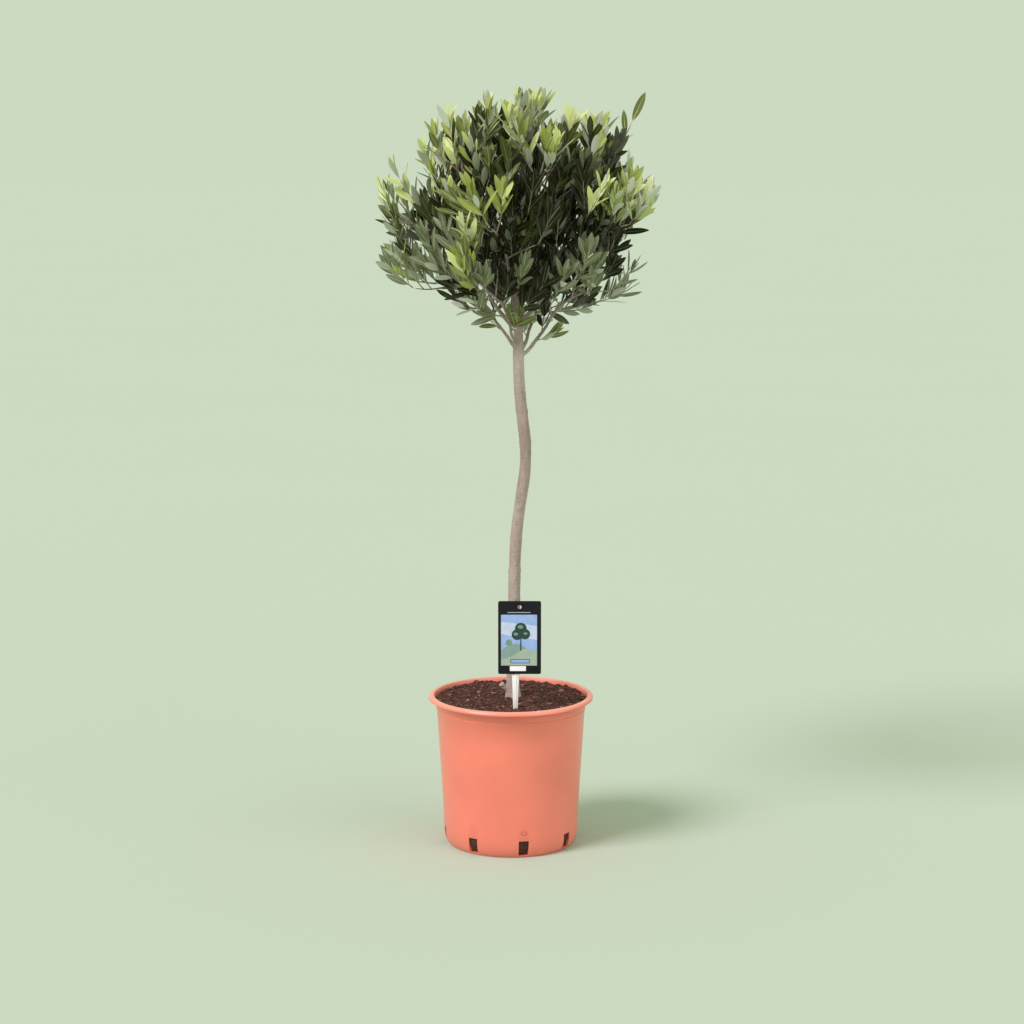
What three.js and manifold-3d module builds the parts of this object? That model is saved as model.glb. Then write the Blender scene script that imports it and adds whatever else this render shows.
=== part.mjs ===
// Potted olive tree: a ball-headed standard on a bare stem, in a round plastic
// nursery pot filled with potting mix, with a plain plant label on a stick.
// Millimetres, +Z up. The origin is the centre of the pot's flat underside.
import * as THREE from "three";
import { mergeVertices } from "three/addons/utils/BufferGeometryUtils.js";
import Module from "manifold-3d";

const wasm = await Module();
wasm.setup();

// Fit between neighbouring pieces
const CLEARANCE = 0.3;

// Pot
const POT_HEIGHT = 201;
const POT_RIM_RADIUS = 110;
const POT_RIM_INNER_RADIUS = 102.5;
const POT_RIM_ROUNDING = 4.6;
const POT_RIM_CHAMFER = 0.8;
const POT_NECK_RADIUS = 99;
const POT_NECK_HEIGHT = 184;
const POT_WAIST_RADIUS = 91;
const POT_WAIST_HEIGHT = 51;
const POT_FOOT_RADIUS = 84;
const POT_FOOT_ROUNDING = 15;
const POT_FOOT_SWELL = 5.6;
const POT_WALL = 2;
const POT_FLOOR = 3;
const POT_SEGMENTS = 36;

// Drain slots round the foot of the pot
const SLOT_COUNT = 8;
const SLOT_FIRST_ANGLE = 281;
const SLOT_WIDTH = 13;
const SLOT_BOTTOM = 2;
const SLOT_TOP = 23;
const SLOT_DEPTH = 30;
const SLOT_INNER_RADIUS = 75;

// Potting mix
const SOIL_LEVEL = 196;
const SOIL_HEAP = 1.2;
const SOIL_HEAP_SHARE = 0.8;

// Plant label: a card carried by a flat stick that is pushed into the mix
const CARD_WIDTH = 56;
const CARD_HEIGHT = 97;
const CARD_THICKNESS = 1.2;
const CARD_CORNER = 2.5;
const CARD_BOTTOM = 243.5;
const CARD_CENTRE_X = 11.4;
const CARD_FRONT_Y = -69;
const CARD_HOLE_RADIUS = 2.6;
const CARD_HOLE_DROP = 8;
const STICK_X = 6;
const STICK_HEAD_WIDTH = 9;
const STICK_FOOT_WIDTH = 6;
const STICK_THICKNESS = 1.6;
const STICK_POINT_LENGTH = 9;
const STICK_WIDENING_DROP = 4;
const STICK_DEPTH_IN_SOIL = 48;
const STICK_LAP_ON_CARD = 46;

// Trunk
const TRUNK_TOP = 668;
const TRUNK_FOOT_X = 2.2;
const TRUNK_BASE_RADIUS = 8.2;
const TRUNK_TOP_RADIUS = 7.2;
const TRUNK_LEAN = 0.016;
const TRUNK_BEND = 12;
const TRUNK_BEND_HEIGHT = 520;
const TRUNK_BEND_SPAN = 52;
const TRUNK_SWAY = 5;
const TRUNK_SWAY_LENGTH = 470;
const ROOT_FLARE = 4.2;
const ROOT_FLARE_HEIGHT = 16;
const ROOT_LOBES = 5;
const ROOT_LOBE_SHARE = 0.45;
const TRUNK_SIDES = 10;
const TRUNK_RINGS = 20;
const STUB_HEIGHT = 204;
const STUB_RADIUS = 3.4;
const STUB_REACH = new THREE.Vector3(-15, -5, 12);
const STUB_SAG = new THREE.Vector3(-1.5, 0, -2);

// Crown: a domed ball over a tapering underside
const CROWN_CENTRE = new THREE.Vector3(14, 0, 822);
const CROWN_HEART = new THREE.Vector3(14, 0, 780);
const CROWN_RADIUS = 188;
const CROWN_RISE = 180;
const CROWN_DROP = 158;
const DOME_POWER = 0.43;
const UNDERSIDE_POWER = 0.8;
const UNDERSIDE_TILT = 0.1;
const CROWN_LUMP = 0.07;

// Boughs
const LEADER_HEIGHT = 846;
const LEADER_RADIUS = 6.4;
const LEADER_TIP_RADIUS = 2.8;
const LEADER_SWAY = 7;
const LEADER_SIDES = 9;
const LEADER_STEPS = 12;
const BOUGH_RADIUS = 3.7;
const BOUGH_TIP_RADIUS = 2.8;
const BOUGH_SIDES = 6;
const BOUGH_STEPS = 5;
const BOUGH_ELBOW_OUT = 0.62;
const BOUGH_ELBOW_UP = 0.4;

// Foliage. Each ring of masses stands on a ring of boughs round the leader.
const CROWN_RINGS = [
  {
    name: "low", count: 4, azimuth: 336, forkHeight: 652, forkStep: 5, twigs: 13, lift: 0.05,
    tipRadius: 40, tipHeight: 702, endRadius: 134, endHeight: 746,
  },
  {
    name: "side", count: 5, azimuth: 182, forkHeight: 684, forkStep: 7, twigs: 11, lift: 0.2,
    tipRadius: 60, tipHeight: 768, endRadius: 168, endHeight: 828,
  },
  {
    name: "shoulder", count: 5, azimuth: 212, forkHeight: 732, forkStep: 9, twigs: 9, lift: 0.35,
    tipRadius: 48, tipHeight: 824, endRadius: 128, endHeight: 918,
  },
];
const TOP_STEM_END = new THREE.Vector3(39, -6, 959);
const TOP_TWIGS = 9;
const TOP_LIFT = 0.35;

// One long shoot stands out of the crown, with a leaf beside it and a leaf at its tip.
const LONE_SHOOT = {
  mass: "shoulder_3",
  share: 0.86,
  tip: new THREE.Vector3(153, -12, 951),
  leaves: [
    { share: 0.94, tip: new THREE.Vector3(172.5, -14, 993), roll: 65 },
    { share: 0.68, tip: new THREE.Vector3(144, -13, 971), roll: 50 },
  ],
};

// Stems, twigs and leaves
const STEM_RADIUS = 2.8;
const STEM_TIP_RADIUS = 1.7;
const STEM_SIDES = 4;
const STEM_STEPS = 3;
const STEM_ELBOW = 0.45;
const STEM_FIRST_LEAF = 0.4;
const TWIG_FIRST_LEAF = 0.25;
const TWIG_FIRST_SHARE = 0.06;
const TWIG_SHARE_RANGE = 0.86;
const TWIG_CLOSING = 0.35;
const TWIG_TURN = 30;
const TWIG_RADIUS = 1.5;
const TWIG_SIDES = 3;
const TWIG_LENGTH = 74;
const SHORTEST_TWIG = 14;
const TWIG_TRIM = 5;
const TIP_LEAF_ROOM = 0.7;
const TWIG_SPREAD = 64;
const GOLDEN_ANGLE = 137.508;
const LEAF_LENGTH = 62;
const LEAF_WIDTH = 18;
const LEAF_THICKNESS = 3;
const LEAF_WIDEST = 0.45;
const LEAF_ROOT = 0.4;
const LEAF_SPREAD = 34;
const LEAF_SPREAD_RANGE = 14;
const LEAF_SMALLEST = 0.8;
const LEAF_SIZE_RANGE = 0.3;
const TIP_LEAF_SHARE = 0.96;
const TIP_LEAF_SPREAD = 6;
const TIP_LEAF_SIZE = 0.85;
const LEAF_ROLL = 70;
const LEAF_TURNS = [0, 45, -45, 90, -90, 135, -135];
const LEAF_ROOT_VOLUME = 0.3;
const LEAF_PAIR_SPACING = 26;
const LEAF_CLEARANCE = 1.2;
const SPACE_MARGIN = 0.3;

const UP = new THREE.Vector3(0, 0, 1);
const radians = THREE.MathUtils.degToRad;

// A point in the crown by its radius and azimuth about the crown's axis, and its height.
function crownPoint(radius, azimuth, height) {
  const angle = radians(azimuth);
  return new THREE.Vector3(
    CROWN_CENTRE.x + radius * Math.cos(angle),
    CROWN_CENTRE.y + radius * Math.sin(angle),
    height,
  );
}

// A repeatable run of numbers from 0 to 1.
function seededNumbers(seed) {
  let state = seed;
  return () => {
    state = (Math.imul(state, 1664525) + 1013904223) >>> 0;
    return state / 4294967296;
  };
}

// Solids and geometry
function toSolid(geometry) {
  const bare = geometry.clone();
  bare.deleteAttribute("normal");
  bare.deleteAttribute("uv");
  const merged = mergeVertices(bare);
  return new wasm.Manifold(new wasm.Mesh({
    numProp: 3,
    vertProperties: Float32Array.from(merged.attributes.position.array),
    triVerts: Uint32Array.from(merged.index.array),
  }));
}

function toGeometry(body) {
  const mesh = body.getMesh();
  const geometry = new THREE.BufferGeometry();
  geometry.setAttribute("position", new THREE.BufferAttribute(mesh.vertProperties, 3));
  geometry.setIndex(new THREE.BufferAttribute(mesh.triVerts, 1));
  geometry.computeVertexNormals();
  return geometry;
}

// The largest piece of a solid, without loose scraps or sealed hollows.
function mainBody(body) {
  return body.decompose().reduce((best, part) => (part.volume() > best.volume() ? part : best));
}

// A closed tapering limb: a capped cylinder whose rings are laid along a curve.
function limb(curve, radiusAt, sides, steps, pointed = false) {
  const geometry = new THREE.CylinderGeometry(pointed ? 0 : 1, 1, 1, sides, steps);
  const frames = curve.computeFrenetFrames(steps, false);
  const position = geometry.attributes.position;
  const point = new THREE.Vector3();
  for (let i = 0; i < position.count; i += 1) {
    const across = position.getX(i);
    const along = position.getZ(i);
    const ring = Math.round((position.getY(i) + 0.5) * steps);
    const reach = Math.hypot(across, along);
    const scale = reach > 0 ? radiusAt(ring / steps) / reach : 0;
    curve.getPointAt(ring / steps, point);
    point.addScaledVector(frames.binormals[ring], across * scale);
    point.addScaledVector(frames.normals[ring], along * scale);
    position.setXYZ(i, point.x, point.y, point.z);
  }
  return geometry;
}

// Pot
function potOuterProfile() {
  const foot = new THREE.Vector2(POT_FOOT_RADIUS, 0);
  const footTop = new THREE.Vector2(POT_FOOT_RADIUS + POT_FOOT_SWELL, POT_FOOT_ROUNDING);
  const footCorner = new THREE.Vector2(POT_FOOT_RADIUS + 0.8 * POT_FOOT_SWELL, POT_FOOT_ROUNDING / 4);
  const lipFoot = new THREE.Vector2(POT_NECK_RADIUS, POT_NECK_HEIGHT);
  const lipCorner = new THREE.Vector2(POT_NECK_RADIUS + POT_WALL, POT_HEIGHT - 2 * POT_RIM_ROUNDING);
  const lipEdge = new THREE.Vector2(POT_RIM_RADIUS, POT_HEIGHT - POT_RIM_ROUNDING);
  const lipCrown = new THREE.Vector2(POT_RIM_RADIUS, POT_HEIGHT);
  const lipTop = new THREE.Vector2(POT_RIM_RADIUS - POT_RIM_ROUNDING, POT_HEIGHT);
  return [
    ...new THREE.QuadraticBezierCurve(foot, footCorner, footTop).getPoints(2),
    new THREE.Vector2(POT_WAIST_RADIUS, POT_WAIST_HEIGHT),
    ...new THREE.QuadraticBezierCurve(lipFoot, lipCorner, lipEdge).getPoints(3),
    ...new THREE.QuadraticBezierCurve(lipEdge, lipCrown, lipTop).getPoints(2).slice(1),
    new THREE.Vector2(POT_RIM_INNER_RADIUS + POT_RIM_CHAMFER, POT_HEIGHT),
    new THREE.Vector2(POT_RIM_INNER_RADIUS, POT_HEIGHT - POT_RIM_CHAMFER),
  ];
}

// The inside of the wall, which the potting mix fills with a small inset.
function potInnerProfile(inset) {
  return [
    new THREE.Vector2(POT_NECK_RADIUS - POT_WALL - inset, POT_NECK_HEIGHT),
    new THREE.Vector2(POT_WAIST_RADIUS - POT_WALL - inset, POT_WAIST_HEIGHT),
    new THREE.Vector2(POT_FOOT_RADIUS + POT_FOOT_SWELL - POT_WALL - inset, POT_FOOT_ROUNDING),
    new THREE.Vector2(POT_FOOT_RADIUS - POT_WALL - inset, POT_FLOOR + inset),
  ];
}

function turned(profile) {
  return new THREE.LatheGeometry(profile, POT_SEGMENTS).rotateX(Math.PI / 2);
}

function slotCutter(angle) {
  const box = new THREE.BoxGeometry(SLOT_DEPTH, SLOT_WIDTH, SLOT_TOP - SLOT_BOTTOM);
  box.translate(SLOT_INNER_RADIUS + SLOT_DEPTH / 2, 0, (SLOT_TOP + SLOT_BOTTOM) / 2);
  return toSolid(box.rotateZ(radians(angle)));
}

function potGeometry() {
  const axisFoot = new THREE.Vector2(0, 0);
  const axisFloor = new THREE.Vector2(0, POT_FLOOR);
  const profile = [axisFoot, ...potOuterProfile(), ...potInnerProfile(0), axisFloor];
  let pot = toSolid(turned(profile));
  for (let i = 0; i < SLOT_COUNT; i += 1) {
    pot = pot.subtract(slotCutter(SLOT_FIRST_ANGLE + (i * 360) / SLOT_COUNT));
  }
  return toGeometry(pot);
}

// Potting mix, with the slit that the label's stick is pushed into. Its edge meets the sloping lip.
function soilGeometry() {
  const lipRise = (SOIL_LEVEL - POT_NECK_HEIGHT) / (POT_HEIGHT - POT_NECK_HEIGHT);
  const topRadius = THREE.MathUtils.lerp(POT_NECK_RADIUS - POT_WALL, POT_RIM_INNER_RADIUS, lipRise);
  const profile = [
    new THREE.Vector2(0, POT_FLOOR + CLEARANCE),
    ...potInnerProfile(CLEARANCE).reverse(),
    new THREE.Vector2(topRadius - CLEARANCE, SOIL_LEVEL - SOIL_HEAP),
    new THREE.Vector2(topRadius * SOIL_HEAP_SHARE, SOIL_LEVEL),
    new THREE.Vector2(0, SOIL_LEVEL),
  ];
  return toGeometry(toSolid(turned(profile)).subtract(toSolid(stickGeometry(CLEARANCE))));
}

// Label
function cardGeometry() {
  const half = CARD_WIDTH / 2;
  const outline = new THREE.Shape();
  outline.moveTo(-half + CARD_CORNER, 0);
  outline.lineTo(half - CARD_CORNER, 0);
  outline.absarc(half - CARD_CORNER, CARD_CORNER, CARD_CORNER, -Math.PI / 2, 0);
  outline.absarc(half - CARD_CORNER, CARD_HEIGHT - CARD_CORNER, CARD_CORNER, 0, Math.PI / 2);
  outline.absarc(-half + CARD_CORNER, CARD_HEIGHT - CARD_CORNER, CARD_CORNER, Math.PI / 2, Math.PI);
  outline.absarc(-half + CARD_CORNER, CARD_CORNER, CARD_CORNER, Math.PI, 1.5 * Math.PI);
  const hole = new THREE.Path();
  hole.absarc(0, CARD_HEIGHT - CARD_HOLE_DROP, CARD_HOLE_RADIUS, 0, 2 * Math.PI);
  outline.holes.push(hole);
  const card = new THREE.ExtrudeGeometry(outline, {
    depth: CARD_THICKNESS, bevelEnabled: false, curveSegments: 3,
  });
  card.rotateX(Math.PI / 2);
  return card.translate(CARD_CENTRE_X, CARD_FRONT_Y + CARD_THICKNESS, CARD_BOTTOM);
}

// The stick, or with a margin the room that it takes in the mix.
function stickGeometry(margin) {
  const top = CARD_BOTTOM + STICK_LAP_ON_CARD + margin;
  const shoulder = CARD_BOTTOM - STICK_WIDENING_DROP;
  const point = SOIL_LEVEL - STICK_DEPTH_IN_SOIL - margin;
  const head = STICK_HEAD_WIDTH / 2 + margin;
  const foot = STICK_FOOT_WIDTH / 2 + margin;
  const outline = new THREE.Shape();
  outline.moveTo(0, point);
  outline.lineTo(foot, point + STICK_POINT_LENGTH);
  outline.lineTo(foot, SOIL_LEVEL);
  outline.lineTo(head, shoulder);
  outline.lineTo(head, top);
  outline.lineTo(-head, top);
  outline.lineTo(-head, shoulder);
  outline.lineTo(-foot, SOIL_LEVEL);
  outline.lineTo(-foot, point + STICK_POINT_LENGTH);
  outline.closePath();
  const thickness = STICK_THICKNESS + 2 * margin;
  const stick = new THREE.ExtrudeGeometry(outline, { depth: thickness, bevelEnabled: false });
  stick.rotateX(Math.PI / 2);
  const back = CARD_FRONT_Y + CARD_THICKNESS + CLEARANCE + STICK_THICKNESS + margin;
  return stick.translate(STICK_X, back, 0);
}

// Trunk
function trunkCentre(height) {
  const fromBend = (height - TRUNK_BEND_HEIGHT) / TRUNK_BEND_SPAN;
  const lean = TRUNK_FOOT_X + TRUNK_LEAN * (height - SOIL_LEVEL);
  const swayTurn = (2 * Math.PI * (height - SOIL_LEVEL)) / TRUNK_SWAY_LENGTH;
  return new THREE.Vector3(
    lean + TRUNK_BEND * Math.exp(-0.5 * fromBend * fromBend),
    TRUNK_SWAY * Math.sin(swayTurn),
    height,
  );
}

function trunkRadius(height, angle) {
  const rise = (height - SOIL_LEVEL) / (TRUNK_TOP - SOIL_LEVEL);
  const stem = THREE.MathUtils.lerp(TRUNK_BASE_RADIUS, TRUNK_TOP_RADIUS, rise);
  const flare = ROOT_FLARE * Math.exp(-(height - SOIL_LEVEL) / ROOT_FLARE_HEIGHT);
  return stem + flare * (1 + ROOT_LOBE_SHARE * Math.cos(ROOT_LOBES * angle));
}

// Level rings stacked from the soil to the fork, closer at the foot, or with a margin their room.
function trunkSolid(margin) {
  const bottom = SOIL_LEVEL + CLEARANCE;
  const geometry = new THREE.CylinderGeometry(1, 1, 1, TRUNK_SIDES, TRUNK_RINGS).rotateX(Math.PI / 2);
  const position = geometry.attributes.position;
  for (let i = 0; i < position.count; i += 1) {
    const rise = position.getZ(i) + 0.5;
    const height = THREE.MathUtils.lerp(bottom, TRUNK_TOP, rise * (0.4 + 0.6 * rise));
    const angle = Math.atan2(position.getY(i), position.getX(i));
    const reach = Math.hypot(position.getX(i), position.getY(i));
    const radius = reach * (trunkRadius(height, angle) + margin);
    const centre = trunkCentre(height);
    position.setXYZ(i, centre.x + radius * Math.cos(angle), centre.y + radius * Math.sin(angle), height);
  }
  return toSolid(geometry);
}

// The short stub of a sucker that was cut off beside the foot.
function stubSolid() {
  const root = trunkCentre(STUB_HEIGHT);
  const tip = root.clone().add(STUB_REACH);
  const middle = root.clone().lerp(tip, 0.5).add(STUB_SAG);
  const curve = new THREE.QuadraticBezierCurve3(root, middle, tip);
  return toSolid(limb(curve, () => STUB_RADIUS, 8, 3));
}

// Boughs
function leaderCurve() {
  const foot = trunkCentre(TRUNK_TOP).add(new THREE.Vector3(0, 0, CLEARANCE));
  const rise = LEADER_HEIGHT - foot.z;
  const lower = foot.clone().add(new THREE.Vector3(0, 0, rise / 3));
  const tip = crownPoint(0, 0, LEADER_HEIGHT);
  const upper = tip.clone().add(new THREE.Vector3(-LEADER_SWAY, LEADER_SWAY, -rise / 3));
  return new THREE.CubicBezierCurve3(foot, lower, upper, tip);
}

function leaderRadius(t) {
  return THREE.MathUtils.lerp(LEADER_RADIUS, LEADER_TIP_RADIUS, t);
}

function boughRadius(t) {
  return THREE.MathUtils.lerp(BOUGH_RADIUS, BOUGH_TIP_RADIUS, t);
}

// Where a side bough leaves the trunk or the leader.
function forkPoint(leader, height) {
  if (height < TRUNK_TOP) {
    return trunkCentre(height);
  }
  return leader.getPointAt((height - TRUNK_TOP) / (LEADER_HEIGHT - TRUNK_TOP));
}

// A side bough goes outward first and then turns up to its tip.
function boughCurve(fork, tip) {
  const elbow = new THREE.Vector3().lerpVectors(fork, tip, BOUGH_ELBOW_OUT);
  elbow.z = THREE.MathUtils.lerp(fork.z, tip.z, BOUGH_ELBOW_UP);
  return new THREE.QuadraticBezierCurve3(fork, elbow, tip);
}

// The stem of a mass goes on from its bough's tip, and lifts at its end.
function stemCurve(bough, end) {
  const direction = bough.getTangent(1);
  const start = bough.getPoint(1).addScaledVector(direction, CLEARANCE);
  const elbow = start.clone().addScaledVector(direction, start.distanceTo(end) * STEM_ELBOW);
  return new THREE.QuadraticBezierCurve3(start, elbow, end);
}

// Each bough with the mass that stands on it.
function layOutCrown() {
  const leader = leaderCurve();
  const masses = [{
    name: "top", bough: leader, radiusAt: leaderRadius, twigs: TOP_TWIGS, lift: TOP_LIFT,
    stem: stemCurve(leader, TOP_STEM_END), seed: 12,
  }];
  CROWN_RINGS.forEach((ring, level) => {
    for (let i = 0; i < ring.count; i += 1) {
      const azimuth = ring.azimuth + (i * 360) / ring.count;
      const fork = forkPoint(leader, ring.forkHeight + i * ring.forkStep);
      const bough = boughCurve(fork, crownPoint(ring.tipRadius, azimuth, ring.tipHeight));
      const end = crownPoint(ring.endRadius, azimuth, ring.endHeight);
      masses.push({
        name: `${ring.name}_${i + 1}`, bough, radiusAt: boughRadius, twigs: ring.twigs, lift: ring.lift,
        stem: stemCurve(bough, end), seed: 101 * (level + 1) + 7 * i + 1,
      });
    }
  });
  masses.forEach((mass) => {
    mass.boughLine = mass.bough.getPoints(8);
    mass.stemLine = mass.stem.getPoints(6);
  });
  return masses;
}

function distanceToLine(point, line) {
  const segment = new THREE.Line3();
  const nearest = new THREE.Vector3();
  let least = Infinity;
  for (let i = 1; i < line.length; i += 1) {
    segment.set(line[i - 1], line[i]).closestPointToPoint(point, true, nearest);
    least = Math.min(least, nearest.distanceTo(point));
  }
  return least;
}

// The crown's outline: 1 on its surface and less inside it.
function crownFill(point) {
  const dx = point.x - CROWN_CENTRE.x;
  const dy = point.y - CROWN_CENTRE.y;
  const up = point.z > CROWN_CENTRE.z;
  const rise = point.z - CROWN_CENTRE.z + (up ? 0 : UNDERSIDE_TILT * dx);
  const level = rise / (up ? CROWN_RISE : CROWN_DROP);
  const azimuth = Math.atan2(dy, dx);
  const lump = CROWN_LUMP * Math.sin(3 * azimuth + rise / 40) * Math.cos(2 * azimuth - rise / 27);
  const share = Math.max(1 - level * level, 0) ** (up ? DOME_POWER : UNDERSIDE_POWER);
  const radius = CROWN_RADIUS * share * (1 + lump);
  return radius > 0 ? Math.hypot(dx, dy) / radius : Infinity;
}

// A point is in a mass's space if it is nearer to that mass's stem than to any other.
function inSpace(point, { mass, masses }, radius) {
  if (crownFill(point) > 1) {
    return false;
  }
  const own = distanceToLine(point, mass.stemLine);
  return masses.every((other) => {
    if (distanceToLine(point, other.boughLine) < BOUGH_RADIUS + radius + LEAF_CLEARANCE) {
      return false;
    }
    return other === mass || distanceToLine(point, other.stemLine) > own + 2 * (radius + SPACE_MARGIN);
  });
}

// A straight twig that lifts towards the light.
function twigCurve(start, direction, length, lift) {
  const lifted = direction.clone().addScaledVector(UP, lift).normalize();
  return new THREE.LineCurve3(start, start.clone().addScaledVector(lifted, length));
}

// A direction that leaves an axis at an angle, turned about it.
function splayed(axis, spread, turn) {
  const side = new THREE.Vector3().crossVectors(axis, UP).normalize();
  side.applyAxisAngle(axis, radians(turn));
  const angle = radians(spread);
  return axis.clone().multiplyScalar(Math.cos(angle)).addScaledVector(side, Math.sin(angle));
}

// A leaf's blade faces away from the crown's centre, give or take its own roll.
function leafCorners(root, direction, length, roll) {
  const outward = root.clone().sub(CROWN_HEART).normalize();
  const across = new THREE.Vector3().crossVectors(direction, outward).normalize();
  across.applyAxisAngle(direction, radians(roll));
  const face = new THREE.Vector3().crossVectors(across, direction).normalize();
  const middle = root.clone().addScaledVector(direction, length * LEAF_WIDEST);
  return {
    across, face, middle,
    tip: root.clone().addScaledVector(direction, length),
    left: middle.clone().addScaledVector(across, -LEAF_WIDTH / 2),
    right: middle.clone().addScaledVector(across, LEAF_WIDTH / 2),
  };
}

// A leaf of eight faces: a drawn-out octahedron, widest before its middle.
function leafSolid(root, direction, corners) {
  const { across, face, middle, tip } = corners;
  const geometry = new THREE.OctahedronGeometry(1, 0);
  const position = geometry.attributes.position;
  const start = root.clone().addScaledVector(direction, -LEAF_ROOT);
  for (let i = 0; i < position.count; i += 1) {
    const along = position.getY(i);
    const point = middle.clone();
    point.addScaledVector(across, (position.getX(i) * LEAF_WIDTH) / 2);
    point.addScaledVector(face, (position.getZ(i) * LEAF_THICKNESS) / 2);
    if (Math.abs(along) > 0.5) {
      point.copy(along > 0 ? tip : start);
    }
    position.setXYZ(i, point.x, point.y, point.z);
  }
  return toSolid(geometry);
}

// Whether a leaf keeps to its space and touches nothing but the twig at its root.
function leafFits(leaf, corners, root, crown) {
  const { middle, tip, left, right } = corners;
  const near = middle.clone().lerp(root, 0.5);
  if (![middle, tip, left, right, near].every((point) => inSpace(point, crown, LEAF_THICKNESS / 2))) {
    return false;
  }
  return crown.body.intersect(leaf).volume() < LEAF_ROOT_VOLUME;
}

// Fuses one leaf on, turned about its twig until it fits, or leaves it out.
function addLeaf(curve, share, spread, turn, size, crown) {
  const root = curve.getPointAt(share);
  for (const shift of LEAF_TURNS) {
    const direction = splayed(curve.getTangentAt(share), spread, turn + shift);
    direction.addScaledVector(UP, crown.mass.lift * crown.random()).normalize();
    const corners = leafCorners(root, direction, size, LEAF_ROLL * (crown.random() - 0.5));
    const leaf = leafSolid(root, direction, corners);
    if (leafFits(leaf, corners, root, crown)) {
      crown.body = crown.body.add(leaf);
      return;
    }
  }
}

// Leaves stand in opposite pairs, each pair turned a quarter from the last, with one at the tip.
function addLeaves(curve, firstShare, crown) {
  addLeaf(curve, TIP_LEAF_SHARE, TIP_LEAF_SPREAD, 0, LEAF_LENGTH * TIP_LEAF_SIZE, crown);
  const pairs = Math.max(1, Math.round((curve.getLength() * (1 - firstShare)) / LEAF_PAIR_SPACING));
  const firstTurn = 360 * crown.random();
  for (let i = pairs - 1; i >= 0; i -= 1) {
    const share = firstShare + ((1 - firstShare) * (i + 0.3)) / pairs;
    const size = LEAF_LENGTH * (LEAF_SMALLEST + LEAF_SIZE_RANGE * crown.random());
    const spread = LEAF_SPREAD + LEAF_SPREAD_RANGE * crown.random();
    addLeaf(curve, share, spread, firstTurn + 90 * i, size, crown);
    addLeaf(curve, share, spread, firstTurn + 90 * i + 180, size, crown);
  }
}

// The room that a twig has before it would leave its space.
function freeLength(start, direction, crown) {
  for (let length = TWIG_LENGTH; length > SHORTEST_TWIG; length -= TWIG_TRIM) {
    const curve = twigCurve(start, direction, length, crown.mass.lift);
    const probes = [0.4, 0.7, 1].map((share) => curve.getPointAt(share));
    const leafTip = curve.getPoint(1).addScaledVector(curve.getTangent(1), LEAF_LENGTH * TIP_LEAF_ROOM);
    if (crownFill(leafTip) < 1 && probes.every((point) => inSpace(point, crown, TWIG_RADIUS))) {
      return length;
    }
  }
  return 0;
}

// The twigs that branch from a mass's stem, turned by the golden angle from one to the next.
function twigsOf(mass, masses) {
  const random = seededNumbers(mass.seed);
  const twigs = [];
  for (let i = 0; i < mass.twigs; i += 1) {
    const share = TWIG_FIRST_SHARE + (TWIG_SHARE_RANGE * i) / mass.twigs;
    const start = mass.stem.getPointAt(share);
    const spread = TWIG_SPREAD * (1 - TWIG_CLOSING * share);
    const turn = GOLDEN_ANGLE * i + TWIG_TURN * random();
    const direction = splayed(mass.stem.getTangentAt(share), spread, turn);
    const length = freeLength(start, direction, { mass, masses });
    if (length > SHORTEST_TWIG) {
      twigs.push(twigCurve(start, direction, length, mass.lift));
    }
  }
  return twigs;
}

// The long shoot, whose leaves are given by their tips.
function addLoneShoot(crown) {
  const shoot = new THREE.LineCurve3(crown.mass.stem.getPointAt(LONE_SHOOT.share), LONE_SHOOT.tip);
  crown.body = crown.body.add(toSolid(limb(shoot, () => TWIG_RADIUS, TWIG_SIDES, 1, true)));
  LONE_SHOOT.leaves.forEach(({ share, tip, roll }) => {
    const root = shoot.getPointAt(share);
    const direction = tip.clone().sub(root).normalize();
    const corners = leafCorners(root, direction, root.distanceTo(tip), roll);
    crown.body = crown.body.add(leafSolid(root, direction, corners));
  });
}

// A mass: one stem, the twigs on it and the leaves on them, fused.
function foliageSolid(mass, masses) {
  const stemRadius = (t) => THREE.MathUtils.lerp(STEM_RADIUS, STEM_TIP_RADIUS, t);
  const twigs = twigsOf(mass, masses);
  let body = toSolid(limb(mass.stem, stemRadius, STEM_SIDES, STEM_STEPS, true));
  twigs.forEach((twig) => {
    body = body.add(toSolid(limb(twig, () => TWIG_RADIUS, TWIG_SIDES, 1, true)));
  });
  const crown = { mass, masses, body, random: seededNumbers(mass.seed + 1) };
  if (mass.name === LONE_SHOOT.mass) {
    addLoneShoot(crown);
  }
  addLeaves(mass.stem, STEM_FIRST_LEAF, crown);
  twigs.forEach((twig) => addLeaves(twig, TWIG_FIRST_LEAF, crown));
  return mainBody(crown.body);
}

// Assembly
const tree = new THREE.Group();

function addPiece(name, geometry, color, roughness) {
  const material = new THREE.MeshStandardMaterial({ color, roughness, metalness: 0 });
  const mesh = new THREE.Mesh(geometry, material);
  mesh.name = name;
  tree.add(mesh);
}

addPiece("pot", potGeometry(), 0xe8836c, 0.45);
addPiece("potting_mix", soilGeometry(), 0x4a3026, 0.95);
addPiece("label_card", cardGeometry(), 0x23262b, 0.4);
addPiece("label_stick", stickGeometry(0), 0xf2f0ec, 0.45);
addPiece("trunk", toGeometry(mainBody(trunkSolid(0).add(stubSolid()))), 0xa79a8c, 0.85);

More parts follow.
